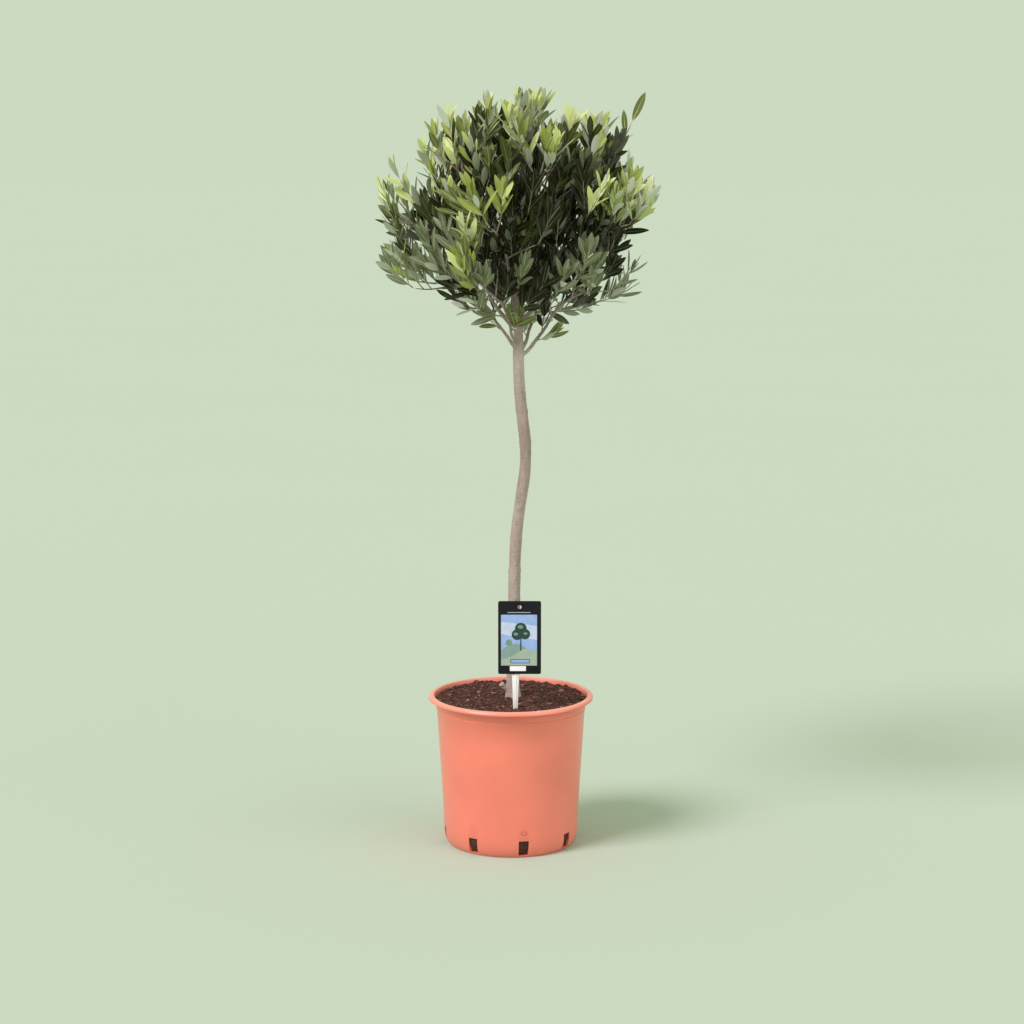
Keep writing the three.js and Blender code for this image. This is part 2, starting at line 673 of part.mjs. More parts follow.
// Each bough is cut back from the limbs before it, so that it springs from their bark.
const masses = layOutCrown();
let limbRoom = trunkSolid(CLEARANCE);
masses.forEach((mass) => {
  const isLeader = mass.bough === masses[0].bough;
  const sides = isLeader ? LEADER_SIDES : BOUGH_SIDES;
  const steps = isLeader ? LEADER_STEPS : BOUGH_STEPS;
  let bough = toSolid(limb(mass.bough, mass.radiusAt, sides, steps));
  if (!isLeader) {
    bough = mainBody(bough.subtract(limbRoom));
  }
  limbRoom = limbRoom.add(toSolid(limb(mass.bough, (t) => mass.radiusAt(t) + CLEARANCE, sides, steps)));
  addPiece(isLeader ? "bough_leader" : `bough_${mass.name}`, toGeometry(bough), 0x9a8d7c, 0.85);
});

// Foliage on the tips of the boughs
masses.forEach((mass) => {
  addPiece(`foliage_${mass.name}`, toGeometry(foliageSolid(mass, masses)), 0x6f8a3c, 0.6);
});

export default tree;
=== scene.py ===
"""Potted olive tree: its finished surfaces, bark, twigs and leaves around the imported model.

Metres, +Z up, with the viewer towards -Y and the origin under the middle of the pot.
"""

import math
import random
from typing import NamedTuple

import bmesh
import bpy
import numpy as np
from bpy.props import FloatProperty, FloatVectorProperty, IntProperty, PointerProperty
from mathutils import Matrix, Vector, noise


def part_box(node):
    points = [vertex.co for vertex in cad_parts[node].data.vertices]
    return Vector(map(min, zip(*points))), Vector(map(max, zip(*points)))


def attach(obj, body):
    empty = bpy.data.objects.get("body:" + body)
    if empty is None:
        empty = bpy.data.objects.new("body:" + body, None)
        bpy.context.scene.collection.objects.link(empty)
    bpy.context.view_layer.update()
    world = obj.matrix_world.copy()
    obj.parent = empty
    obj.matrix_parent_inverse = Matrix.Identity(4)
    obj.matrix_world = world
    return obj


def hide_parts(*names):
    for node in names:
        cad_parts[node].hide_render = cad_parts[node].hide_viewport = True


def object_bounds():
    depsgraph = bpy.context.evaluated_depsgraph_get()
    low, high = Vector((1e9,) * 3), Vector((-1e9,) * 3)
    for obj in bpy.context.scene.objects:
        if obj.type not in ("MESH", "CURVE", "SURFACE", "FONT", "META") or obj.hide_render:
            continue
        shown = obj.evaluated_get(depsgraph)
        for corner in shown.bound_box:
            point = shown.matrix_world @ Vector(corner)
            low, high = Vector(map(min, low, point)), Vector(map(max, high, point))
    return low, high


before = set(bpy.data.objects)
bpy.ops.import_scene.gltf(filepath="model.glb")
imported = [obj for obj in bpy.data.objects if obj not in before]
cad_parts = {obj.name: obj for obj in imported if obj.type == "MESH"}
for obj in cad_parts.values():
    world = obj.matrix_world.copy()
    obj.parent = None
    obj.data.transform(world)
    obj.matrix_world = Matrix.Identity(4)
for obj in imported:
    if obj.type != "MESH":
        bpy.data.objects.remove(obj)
CAD_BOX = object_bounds()
POT_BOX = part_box("pot")
SOIL_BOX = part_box("potting_mix")
CARD_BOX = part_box("label_card")
STICK_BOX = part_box("label_stick")
TRUNK_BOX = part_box("trunk")

bl_info = {
    "name": "Potted Olive Tree",
    "version": (1, 0, 0),
    "blender": (4, 5, 0),
    "location": "3D View > Sidebar > Olive Tree",
    "description": "Grows a small olive tree in its nursery pot around the packed model",
    "category": "Add Mesh",
}

MM = 0.001
UP = Vector((0, 0, 1))
BODY = "root"

# Pot, in the sizes of the part's source
FOOT_TOP = 15 * MM
FOOT_SPREAD = 5.6 * MM
LIP_ROUND = 4.6 * MM
POT_FLOOR = 3 * MM
CLEARANCE = 0.3 * MM

# Finer shapes of the pot, the mix and the label
SLOT_COLUMNS = 21
SLOT_HALF = 2.01
SLOT_BOTTOM = 2.2 * MM
SLOT_SPREAD = 5.9 * MM
BEAD_RISE = 0.7 * MM
MARK_RADIUS = 3.2 * MM
MARK_RISE = 11 * MM
SOIL_RINGS = 56
SOIL_COLUMNS = 160
ROUGH_SCALE = 75
FINE_SCALE = 280
HEAP_RADIUS = 20 * MM
CRUMB_SEED = 5
PANEL_FOOT = 11.5 * MM
PANEL_HEAD = 18 * MM

# Trunk, in the sizes of the part's source
TRUNK_FOOT = SOIL_BOX[1].z
TRUNK_TOP = TRUNK_BOX[1].z
TRUNK_FOOT_X = 0.0022
TRUNK_LEAN = 0.016
TRUNK_BEND = 0.012
TRUNK_BEND_HEIGHT = 0.520
TRUNK_BEND_SPAN = 0.052
TRUNK_SWAY = 0.005
TRUNK_SWAY_LENGTH = 0.470

# Crown, in the sizes of the part's source
CROWN_CENTRE = Vector((0.014, 0, 0.822))
CROWN_HEART = Vector((0.014, 0, 0.780))
CROWN_RADIUS = 0.188
CROWN_RISE = 0.180
CROWN_DROP = 0.158
DOME_POWER = 0.43
UNDERSIDE_POWER = 0.8
UNDERSIDE_TILT = 0.1
CROWN_LUMP = 0.07
LEADER_HEIGHT = 0.846
LEADER_SWAY = 0.007
LEADER_RADII = (0.0064, 0.0028)
BOUGH_RADII = (0.0037, 0.0028)
TOP_STEM_END = Vector((0.039, -0.006, 0.959))
TOP_TWIGS = 9
TOP_LIFT = 0.35
TOP_SEED = 12
TWIG_LENGTH = 0.074
SHORTEST_TWIG = 0.014
TWIG_TRIM = 0.005
TWIG_SPREAD = 64
TIP_ROOM = 0.0434
GOLDEN_ANGLE = 137.508
SPACE_MARGIN = 0.0003
LIMB_MARGIN = 0.0012

# Finer wood, shoots and leaves
TRUNK_SINK = 2.5 * MM
LIMB_OVERLAP = 2 * MM
TRUNK_SIDES = 24
LIMB_SIDES = 14
COLLAR = 1.45
KINK = 4 * MM
FURROW_SCALE = Vector((260, 260, 42))
RIDGE_SCALE = Vector((90, 90, 620))
SWELL_SCALE = Vector((30, 30, 38))
SCAR_STEP = 0.043
SCAR_SIZE = 3.4 * MM
SCAR_RISE = 0.85 * MM
SCAR_PIT = 0.5 * MM
SMOOTH_ROUNDS = 3
ROOT_REACH = 20 * MM
ROOT_LOBES = 5
ROOT_LOBE_SHARE = 0.45
STUB_REACH = Vector((-15, -5, 12)) * MM
STUB_SAG = Vector((-1.5, 0, -2)) * MM
BARK_SHARE = 0.70
STEM_RADII = (0.0022, 0.0010)
TWIG_RADII = (0.0013, 0.0006)
SHOOT_RADII = (0.0008, 0.0004)
GROWTH_SEED = 30
TONE_SEED = 11
BARE_STEM = 0.8
BOUGH_SHOOTS = (0.5, 0.68, 0.86, 0.98)
STEM_SHOOTS = (0.84, 0.88, 0.92, 0.96, 1.0)
SHOOT_STEP = 4 * MM
SHORTEST_SHOOT = 10 * MM
BOX_MARGIN = 10 * MM
LEAF_REACH = 1.12

# Where the leafy outline leaves the source's rule: the heights, how they fade, and the shares
HEM_HEIGHT = 0.765
HEM_FADE = 0.034
HEM_LEFT = 0.18
HEM_RIGHT = 0.26
SHOULDER_HEIGHT = 0.86
SHOULDER_FADE = 0.06
SHOULDER_RIGHT = 0.07

# Gaps in the crown: the grain of the pattern that opens them, and how far it does
GAP_SCALE = 24
GAP_SHIFT = Vector((3, 1, 5))
GAP_LEVEL = -0.24
GAP_LOW = 0.12
GAP_SKIN = 0.40


class Ring(NamedTuple):
    """A ring of boughs with the mass of foliage on each. The tip and end are each a radius and a height."""
    name: str
    count: int
    azimuth: float
    fork_height: float
    fork_step: float
    twigs: int
    lift: float
    tip: tuple
    end: tuple


RINGS = (
    Ring("low", 4, 336, 0.652, 0.005, 13, 0.05, (0.040, 0.702), (0.134, 0.746)),
    Ring("side", 5, 182, 0.684, 0.007, 11, 0.2, (0.060, 0.768), (0.168, 0.828)),
    Ring("shoulder", 5, 212, 0.732, 0.009, 9, 0.35, (0.048, 0.824), (0.128, 0.918)),
)

# The one long shoot that stands out of the crown
LONE_MASS = "shoulder_3"
LONE_SHARE = 0.86
LONE_TIP = Vector((0.1556, -0.012, 0.9556))
LONE_FACE = Vector((-0.2, -1, 0.1))
LONE_LEAVES = ((0.99, Vector((0.1725, -0.014, 0.993))), (0.66, Vector((0.1445, -0.012, 0.971))))

# Finer twigs that carry the crown's low left and right edges on
EXTRA_TWIGS = {
    "low_3": ((0.72, Vector((-0.128, 0.010, 0.742))), (0.9, Vector((-0.140, 0.050, 0.752)))),
    "side_1": ((0.55, Vector((-0.134, -0.040, 0.768))), (0.8, Vector((-0.150, -0.020, 0.790)))),
    "side_3": ((0.8, Vector((0.170, -0.008, 0.822))), (0.7, Vector((0.160, -0.050, 0.800)))),
    "side_4": ((0.9, Vector((0.172, 0.024, 0.838))),),
}

# A leaf's outline: share of its length, and half its width as a share of the widest
LEAF_STATIONS = ((0.06, 0.15), (0.14, 0.43), (0.25, 0.75), (0.38, 0.94), (0.52, 1.0), (0.66, 0.94),
                 (0.79, 0.75), (0.91, 0.42))
LEAF_FOLD = 0.20
RIB_WIDTH = 0.00085
RIB_RISE = 0.00012
# Leaf tones from lit to shaded: fresh and bright are painted light, deep and dark are painted shade
TONES = ("fresh_lit", "bright", "mid", "deep", "dark", "grey")
SHADED = ("deep", "dark")

# The least light in which a spray takes each tone, so that the tones paint light and shade on the leaves,
# and how high the dull grey sprays reach
LEAST_LIGHT = {"fresh_lit": 1.06, "bright": 0.93, "mid": 0.83, "deep": 0.70, "grey": 0.68}
GREY_RISE = 0.40
GREY_SHARE = 0.62


# Settings

def length(name, description, default, precision=4):
    return FloatProperty(name=name, description=description, default=default, min=0, precision=precision,
                         unit="LENGTH")


def color(name, description, default):
    return FloatVectorProperty(name=name, description=description, default=default, min=0, max=1, size=3,
                               subtype="COLOR")


def amount(name, description, default):
    return FloatProperty(name=name, description=description, default=default, min=0)


def angle(name, description, degrees):
    return FloatProperty(name=name, description=description, default=math.radians(degrees), subtype="ANGLE",
                         unit="ROTATION")


class PotSettings(bpy.types.PropertyGroup):
    """The pot's sizes and colour."""
    height: length("Height", "Height of the pot", POT_BOX[1].z)
    rim_radius: length("Rim radius", "Outer radius of the rim", POT_BOX[1].x)
    rim_inner: length("Rim opening", "Inner radius at the top of the rim", 0.1025)
    neck_radius: length("Neck radius", "Outer radius under the lip", 0.099)
    neck_height: length("Neck height", "Height at which the lip begins", 0.184)
    waist_radius: length("Waist radius", "Outer radius near the foot", 0.091)
    waist_height: length("Waist height", "Height of the waist", 0.051)
    foot_radius: length("Foot radius", "Radius of the flat underside", 0.084)
    wall: length("Wall", "Thickness of the wall", 0.002)
    slot_top: length("Slot top", "Height of the top of the drain slots", 0.023)
    slots: IntProperty(name="Slots", description="Number of drain slots", default=8, min=1)
    slot_angle: angle("Slot angle", "Direction of the front slot", 281)
    color: color("Color", "Moulded plastic", (0.80, 0.200, 0.135))
    # Painted highlight: the rim colour makes the top of the rim paler
    rim_color: color("Rim color", "Rubbed plastic on top of the rim", (0.88, 0.40, 0.30))
    # Painted shade: the mark colour darkens the gate mark's dimple
    mark_color: color("Mark color", "Darker plastic in the gate mark", (0.56, 0.085, 0.055))


class SoilSettings(bpy.types.PropertyGroup):
    """The potting mix."""
    level: length("Level", "Height of the surface", SOIL_BOX[1].z)
    relief: length("Relief", "Depth of the hollows in the surface", 0.0034)
    crumbs: IntProperty(name="Crumbs", description="Number of loose crumbs and chips", default=3400, min=0)
    crumb_size: length("Crumb size", "Length of a large crumb", 0.0078)
    dark: color("Dark color", "Moist peat", (0.042, 0.011, 0.0075))
    light: color("Light color", "Bark chips and fibre", (0.190, 0.068, 0.044))


class LabelSettings(bpy.types.PropertyGroup):
    """The plant label: a card on a stick."""
    corner: length("Corner", "Radius of the card's corners", 0.0025)
    hole_radius: length("Hole radius", "Radius of the hole near the top", 0.0026)
    hole_drop: length("Hole drop", "Depth of the hole under the card's top", 0.008)
    border: length("Border", "Dark border left of the panel", 0.0038)
    print_depth: length("Print depth", "Thickness of the printed layer", 0.00007, 5)
    card: color("Card color", "Dark border of the card", (0.010, 0.009, 0.013))
    sky: color("Panel color", "Pale ground of the panel", (0.30, 0.42, 0.72))
    stick: color("Stick color", "White plastic", (0.82, 0.80, 0.79))


class LimbSettings(bpy.types.PropertyGroup):
    """The trunk and boughs."""
    base_radius: length("Base radius", "Trunk radius above the root flare", 0.0082)
    top_radius: length("Top radius", "Trunk radius under the crown", 0.0072)
    flare: length("Root flare", "Spread of the roots at the soil", 0.0030)
    flare_height: length("Flare height", "Height over which the flare fades", 0.013)
    voxel: length("Detail", "Grain of the limb's surface", 0.0009, 5)
    relief: length("Relief", "Depth of the bark's relief", 0.00035, 5)
    bark: color("Bark color", "Young smooth bark", (0.312, 0.240, 0.207))
    # The bark shade colour paints the cracks and marks, and also painted shade on the limbs inside the
    # crown
    shade: color("Bark shade", "Cracks and marks in the bark, and painted shade inside the crown", (0.143, 0.102, 0.080))
    bloom: color("Bark bloom", "Pale grey bloom on the bark", (0.50, 0.415, 0.38))


class FoliageSettings(bpy.types.PropertyGroup):
    """The twigs, shoots and leaves."""
    shoot_spacing: length("Shoot spacing", "Distance between side shoots on a twig", 0.021)
    shoot_length: length("Shoot length", "Length of a long side shoot", 0.062)
    leaf_length: length("Leaf length", "Length of a full leaf", 0.0385)
    leaf_width: length("Leaf width", "Width of a full leaf", 0.0094)
    leaf_thickness: length("Leaf thickness", "Thickness of a leaf at its rib", 0.00045, 5)
    pair_spacing: length("Pair spacing", "Distance between pairs of leaves", 0.0108)
    # Lit and shaded copies of the leaf colour: fresh and bright are painted light, deep and dark are
    # painted shade
    fresh_lit: color("Fresh leaf", "Young leaves in full light", (0.57, 0.64, 0.24))
    bright: color("Bright leaf", "Outer leaves", (0.29, 0.345, 0.065))
    mid: color("Mid leaf", "Full-grown leaves", (0.122, 0.150, 0.030))
    deep: color("Deep leaf", "Leaves in the shade", (0.040, 0.053, 0.006))
    dark: color("Inner leaf", "Painted shade on the leaves deep in the crown", (0.013, 0.014, 0.001))
    grey: color("Grey leaf", "Dull low leaves", (0.165, 0.190, 0.105))
    under: color("Underside", "Pale underside of the outer leaves", (0.58, 0.62, 0.48))
    # Painted shade: the inner underside is a shaded copy of the underside
    under_shaded: color("Inner underside", "Underside of the leaves in the shade", (0.115, 0.125, 0.085))
    rib: color("Rib", "Pale rib of the outer leaves", (0.50, 0.53, 0.26))
    # Painted shade: the inner rib is a shaded copy of the rib
    rib_shaded: color("Inner rib", "Rib of the leaves in the shade", (0.13, 0.145, 0.065))
    twig: color("Twig color", "Bark of the twigs", (0.35, 0.28, 0.235))
    shoot: color("Shoot color", "Skin of the young shoots", (0.28, 0.25, 0.15))


class StageSettings(bpy.types.PropertyGroup):
    """The floor, lights and camera."""
    camera_place: FloatVectorProperty(name="Camera place", description="Where the camera stands", size=3,
                                      default=(0.00151, -3.0415, 0.9184), subtype="XYZ", unit="LENGTH")
    camera_pitch: angle("Camera pitch", "How far the camera looks down", 8.81)
    lens: amount("Lens", "Focal length on a 36 mm sensor, in millimetres", 81.86)
    backdrop: color("Backdrop", "Plain pale surroundings", (0.604, 0.701, 0.533))
    surround: amount("Surround", "Strength of the even light", 1.0)
    key: amount("Key", "Strength of the soft main light", 2.7)
    key_tint: color("Key tint", "Warms the main light against the green surroundings", (1.0, 0.87, 1.0))
    fill: amount("Fill", "Strength of the light from the right", 0.95)
    floor_shade: color("Floor shade", "Makes the floor match the backdrop", (0.464, 0.538, 0.436))


# Materials

class Finish:
    """A material whose shader is fed by patterns on the piece's own coordinates."""

    def __init__(self, name, base, roughness, **sockets):
        self.material = bpy.data.materials.new(name)
        self.material.use_nodes = True
        self.material.diffuse_color = (*base, 1)
        self.nodes = self.material.node_tree.nodes
        self.links = self.material.node_tree.links
        self.shader = self.nodes["Principled BSDF"]
        self.shader.inputs["Base Color"].default_value = (*base, 1)
        self.shader.inputs["Roughness"].default_value = roughness
        for socket, value in sockets.items():
            self.shader.inputs[socket.replace("_", " ")].default_value = value
        self.coordinates = self.nodes.new("ShaderNodeTexCoord").outputs["Object"]

    def noise(self, scale, detail=3.0, stretch=(1, 1, 1), warp=0.0):
        """A cloudy pattern from 0 to 1, finer at a larger scale."""
        place = self.nodes.new("ShaderNodeMapping")
        place.inputs["Scale"].default_value = stretch
        self.links.new(self.coordinates, place.inputs["Vector"])
        cloud = self.nodes.new("ShaderNodeTexNoise")
        cloud.inputs["Scale"].default_value = scale
        cloud.inputs["Detail"].default_value = detail
        cloud.inputs["Distortion"].default_value = warp
        self.links.new(place.outputs["Vector"], cloud.inputs["Vector"])
        return cloud.outputs["Fac"]

    def height(self):
        """The height of the point, in metres."""
        split = self.nodes.new("ShaderNodeSeparateXYZ")
        self.links.new(self.coordinates, split.inputs["Vector"])
        return split.outputs["Z"]

    def spread(self, value, low, high, bottom=0.0, top=1.0):
        """Stretches a span of values over another."""
        span = self.nodes.new("ShaderNodeMapRange")
        for socket, number in zip(("From Min", "From Max", "To Min", "To Max"), (low, high, bottom, top)):
            span.inputs[socket].default_value = number
        self.links.new(value, span.inputs["Value"])
        return span.outputs["Result"]

    def mix(self, share, first, second):
        """Blends two colours, each given plainly or as a socket."""
        blend = self.nodes.new("ShaderNodeMix")
        blend.data_type = "RGBA"
        self.links.new(share, blend.inputs["Factor"])
        for socket, value in (("A", first), ("B", second)):
            target = next(i for i in blend.inputs if i.name == socket and i.type == "RGBA")
            if isinstance(value, bpy.types.NodeSocket):
                self.links.new(value, target)
            else:
                target.default_value = (*value, 1)
        return next(o for o in blend.outputs if o.type == "RGBA")

    def mottle(self, pattern, base, darker, lighter, low=0.35, high=0.7):
        """Varies a colour between two strengths of it."""
        return self.mix(self.spread(pattern, low, high), scaled(base, darker), scaled(base, lighter))

    def paint(self, value):
        self.links.new(value, self.shader.inputs["Base Color"])

    def roughen(self, value):
        self.links.new(value, self.shader.inputs["Roughness"])

    def emboss(self, *layers):
        """Raises the surface by patterns, each with its depth in metres and its strength."""
        below = None
        for value, depth, strength in layers:
            bump = self.nodes.new("ShaderNodeBump")
            bump.inputs["Distance"].default_value = depth
            bump.inputs["Strength"].default_value = strength
            self.links.new(value, bump.inputs["Height"])
            if below is not None:
                self.links.new(below, bump.inputs["Normal"])
            below = bump.outputs["Normal"]
        self.links.new(below, self.shader.inputs["Normal"])


def scaled(base, factor):
    return tuple(min(1.0, channel * factor) for channel in base)


def pot_plastic(s):
    finish = Finish("pot_plastic", s.color, 0.36, Specular_IOR_Level=0.5, Coat_Weight=0.35,
                    Coat_Roughness=0.28)
    flow = finish.noise(60, 3, (1, 1, 0.12))
    paint = finish.mottle(finish.noise(14, 4), s.color, 0.95, 1.06)
    # The paint turns darker towards the bottom of the pot
    foot_darkening = finish.spread(finish.height(), 0.03, 0.0, 0.0, 0.3)
    darker_at_foot = finish.mix(foot_darkening, paint, scaled(s.color, 0.72))
    # Painted highlight: the top few millimetres of the rim turn paler
    rim_highlight_share = finish.spread(finish.height(), s.height - 3.5 * MM, s.height - 0.5 * MM, 0.0, 0.55)
    finish.paint(finish.mix(rim_highlight_share, darker_at_foot, s.rim_color))
    finish.roughen(finish.spread(flow, 0.3, 0.7, 0.32, 0.44))
    finish.emboss((finish.noise(900, 2), 0.00006, 0.35), (flow, 0.00012, 0.3))
    return finish.material


def soil_mix(s):
    finish = Finish("soil_mix", s.dark, 0.96)
    grain = finish.noise(260, 5, warp=0.6)
    finish.paint(finish.mix(finish.spread(grain, 0.42, 0.72), s.dark, scaled(s.light, 0.7)))
    finish.emboss((grain, 0.0012, 0.9), (finish.noise(900, 3), 0.0004, 0.8))
    return finish.material


def crumb(name, base):
    finish = Finish(name, base, 0.93)
    grain = finish.noise(700, 3, (1, 1, 2))
    finish.paint(finish.mottle(grain, base, 0.6, 1.35))
    finish.emboss((grain, 0.0004, 0.8))
    return finish.material


def bark(s):
    finish = Finish("bark", s.bark, 0.82, Specular_IOR_Level=0.25)
    cloud = finish.noise(38, 4, (1, 1, 0.35))
    fine = finish.noise(420, 4, (1, 1, 0.3), 0.4)
    marks = finish.noise(170, 3, (1, 1, 5.5), 0.2)
    ground = finish.mix(finish.spread(cloud, 0.36, 0.68), s.bark, s.bloom)
    streaked = finish.mix(finish.spread(fine, 0.52, 0.8, 0, 0.55), ground, s.shade)
    marked = finish.mix(finish.spread(marks, 0.6, 0.72, 0, 0.6), streaked, s.shade)
    # Painted shade: from 0.655 m up, inside the crown, the bark turns towards the shade colour
    finish.paint(finish.mix(finish.spread(finish.height(), 0.655, 0.72, 0, 0.45), marked, s.shade))
    finish.roughen(finish.spread(cloud, 0.3, 0.7, 0.74, 0.9))
    finish.emboss((marks, 0.0006, 0.55), (fine, 0.0003, 0.6))
    return finish.material


def twig_skin(name, base):
    finish = Finish(name, base, 0.7, Specular_IOR_Level=0.3)
    grain = finish.noise(300, 3)
    finish.paint(finish.mottle(grain, base, 0.7, 1.3))
    finish.emboss((grain, 0.0003, 0.5))
    return finish.material


def leaf_skin(name, base, roughness, gloss=0.4):
    """A plain colour, with the small unevenness of a leathery leaf."""
    finish = Finish(name, base, roughness, Specular_IOR_Level=gloss)
    grain = finish.noise(500, 2)
    finish.roughen(finish.spread(grain, 0.3, 0.7, roughness - 0.06, roughness + 0.08))
    finish.emboss((grain, 0.0002, 0.35))
    return finish.material


def moulded(name, base, roughness, gloss=0.5):
    """Thin smooth plastic or print."""
    finish = Finish(name, base, roughness, Specular_IOR_Level=gloss)
    cloud = finish.noise(120, 2)
    finish.paint(finish.mottle(cloud, base, 0.94, 1.05))
    finish.roughen(finish.spread(cloud, 0.3, 0.7, roughness - 0.05, roughness + 0.05))
    finish.emboss((finish.noise(1500, 1), 0.00002, 0.3))
    return finish.material


# Pieces

def new_piece(name, shape, materials):
    """An object at the origin that holds a finished bmesh or mesh."""
    if isinstance(shape, bmesh.types.BMesh):
        mesh = bpy.data.meshes.new(name)
        shape.to_mesh(mesh)
        shape.free()
    else:
        mesh = shape
    mesh.name = name
    for material in materials:
        mesh.materials.append(material)
    piece = bpy.data.objects.new(name, mesh)
    bpy.context.scene.collection.objects.link(piece)
    return piece


def settle(piece, slot, *nodes):
    """The piece moves with the body and stands for its nodes; its slot is not used."""
    if not piece.data.polygons:
        raise RuntimeError(f"{piece.name} came out empty")
    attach(piece, BODY)
    if nodes:
        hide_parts(*nodes)


def shade_smooth(mesh, sharp_angle):
    mesh.polygons.foreach_set("use_smooth", [True] * len(mesh.polygons))
    mesh.set_sharp_from_angle(angle=math.radians(sharp_angle))


def verts_of(geometry):
    return [g for g in geometry if isinstance(g, bmesh.types.BMVert)]


def faces_of(geometry):
    return [g for g in geometry if isinstance(g, bmesh.types.BMFace)]


def sharp_edges(bm, degrees):
    return [e for e in bm.edges if e.calc_face_angle(0) > math.radians(degrees)]


def soften(bm, edges, size, clamp=False):
    """Rounds edges over a little."""
    bmesh.ops.bevel(bm, geom=edges, offset=size, segments=2, profile=0.5, affect="EDGES", material=-1,
                    clamp_overlap=clamp)


def round_points(count):
    """Directions all round a circle."""
    turns = [2 * math.pi * i / count for i in range(count)]
    return [Vector((math.cos(turn), math.sin(turn))) for turn in turns]


def apply_modifiers(piece):
    """Bakes the piece's modifiers into its mesh."""
    graph = bpy.context.evaluated_depsgraph_get()
    mesh = bpy.data.meshes.new_from_object(piece.evaluated_get(graph))
    piece.modifiers.clear()
    old = piece.data
    piece.data = mesh
    mesh.name = piece.name
    bpy.data.meshes.remove(old)


def bend_through(points, steps):
    """Points along the Bezier curve of three or four control points."""
    line = []
    for i in range(steps + 1):
        level = [Vector(p) for p in points]
        while len(level) > 1:
            level = [a.lerp(b, i / steps) for a, b in zip(level, level[1:])]
        line.append(level[0])
    return line


class Path:
    """A line through points, read by the share of its length."""

    def __init__(self, points):
        self.points = points
        self.marks = [0.0]
        for a, b in zip(points, points[1:]):
            self.marks.append(self.marks[-1] + (b - a).length)
        self.length = self.marks[-1]

    def segment(self, share):
        reach = min(max(share, 0.0), 1.0) * self.length
        for i in range(1, len(self.marks) - 1):
            if reach <= self.marks[i]:
                return i - 1, reach
        return len(self.marks) - 2, reach

    def at(self, share):
        i, reach = self.segment(share)
        a, b = self.points[i], self.points[i + 1]
        return a.lerp(b, (reach - self.marks[i]) / (b - a).length)

    def direction(self, share):
        i, _ = self.segment(share)
        return (self.points[i + 1] - self.points[i]).normalized()

    def frames(self, steps):
        """A turned frame at each step, carried along without twist."""
        turn = None
        last = None
        for i in range(steps + 1):
            along = self.direction(i / steps)
            turn = along.to_track_quat("Z", "Y") if turn is None else last.rotation_difference(along) @ turn
            last = along
            yield self.at(i / steps), turn


# Pot

def curved(start, control, end, steps):
    """Profile points of a rounded corner."""
    return [p.to_2d() for p in bend_through([Vector((*q, 0)) for q in (start, control, end)], steps)]


def pot_profile(s):
    """The wall's outline from the middle of the underside, up the outside and down the inside."""
    foot, neck, wall = s.foot_radius, s.neck_radius, s.wall
    waist, lip_foot = (s.waist_radius, s.waist_height), (neck, s.neck_height)
    lip_edge, lip_top = (s.rim_radius, s.height - LIP_ROUND), (s.rim_radius - LIP_ROUND, s.height)
    outside = curved((foot, 0), (foot + 4.5 * MM, FOOT_TOP / 4), (foot + FOOT_SPREAD, FOOT_TOP), 4)
    outside += [(foot + SLOT_SPREAD, s.slot_top), waist]
    outside += [Vector(waist).lerp(Vector(lip_foot), share) for share in (0.25, 0.5, 0.75)]
    outside += [(neck - 0.3 * MM, s.neck_height - 3 * MM), (neck + BEAD_RISE, s.neck_height - 1.6 * MM),
                (neck + BEAD_RISE, s.neck_height - 0.6 * MM)]
    outside += curved(lip_foot, (neck + wall, s.height - 2 * LIP_ROUND), lip_edge, 6)
    outside += curved(lip_edge, (s.rim_radius, s.height), lip_top, 4)[1:]
    inside = [(s.rim_inner + 0.8 * MM, s.height), (s.rim_inner + 0.2 * MM, s.height - 0.25 * MM),
              (s.rim_inner, s.height - 0.8 * MM), (neck - wall, s.neck_height),
              (s.waist_radius - wall, s.waist_height), (foot + SLOT_SPREAD - wall, s.slot_top),
              (foot + FOOT_SPREAD - wall, FOOT_TOP), (foot - wall, POT_FLOOR), (0, POT_FLOOR)]
    return [(0, 0)] + outside + inside


def spun(profile, steps, start=0.0):
    """A closed turned body, from the radius and height of each profile point."""
    bm = bmesh.new()
    corners = [bm.verts.new((x * math.cos(start), x * math.sin(start), z)) for x, z in profile]
    edges = [bm.edges.new(pair) for pair in zip(corners, corners[1:])]
    bmesh.ops.spin(bm, geom=corners + edges, cent=(0, 0, 0), axis=(0, 0, 1), angle=2 * math.pi,
                   steps=steps, use_merge=True)
    bmesh.ops.remove_doubles(bm, verts=bm.verts, dist=1e-6)
    bmesh.ops.recalc_face_normals(bm, faces=bm.faces)
    return bm


def angle_apart(first, second):
    return abs((first - second + math.pi) % (2 * math.pi) - math.pi)


def cut_slot(bm, angle, half_width, bottom, top):
    """Opens a slot through the wall and joins its outer edge to its inner one."""
    gone = []
    for face in bm.faces:
        middle = face.calc_center_median()
        if math.hypot(middle.x, middle.y) < 0.08 or not bottom < middle.z < top:
            continue
        if angle_apart(math.atan2(middle.y, middle.x), angle) < half_width:
            gone.append(face)
    rims = [e for f in gone for e in f.edges if any(g not in gone for g in e.link_faces)]
    bmesh.ops.delete(bm, geom=gone, context="FACES")
    bridge = bmesh.ops.bridge_loops(bm, edges=[e for e in rims if e.is_valid])
    return bridge["faces"]


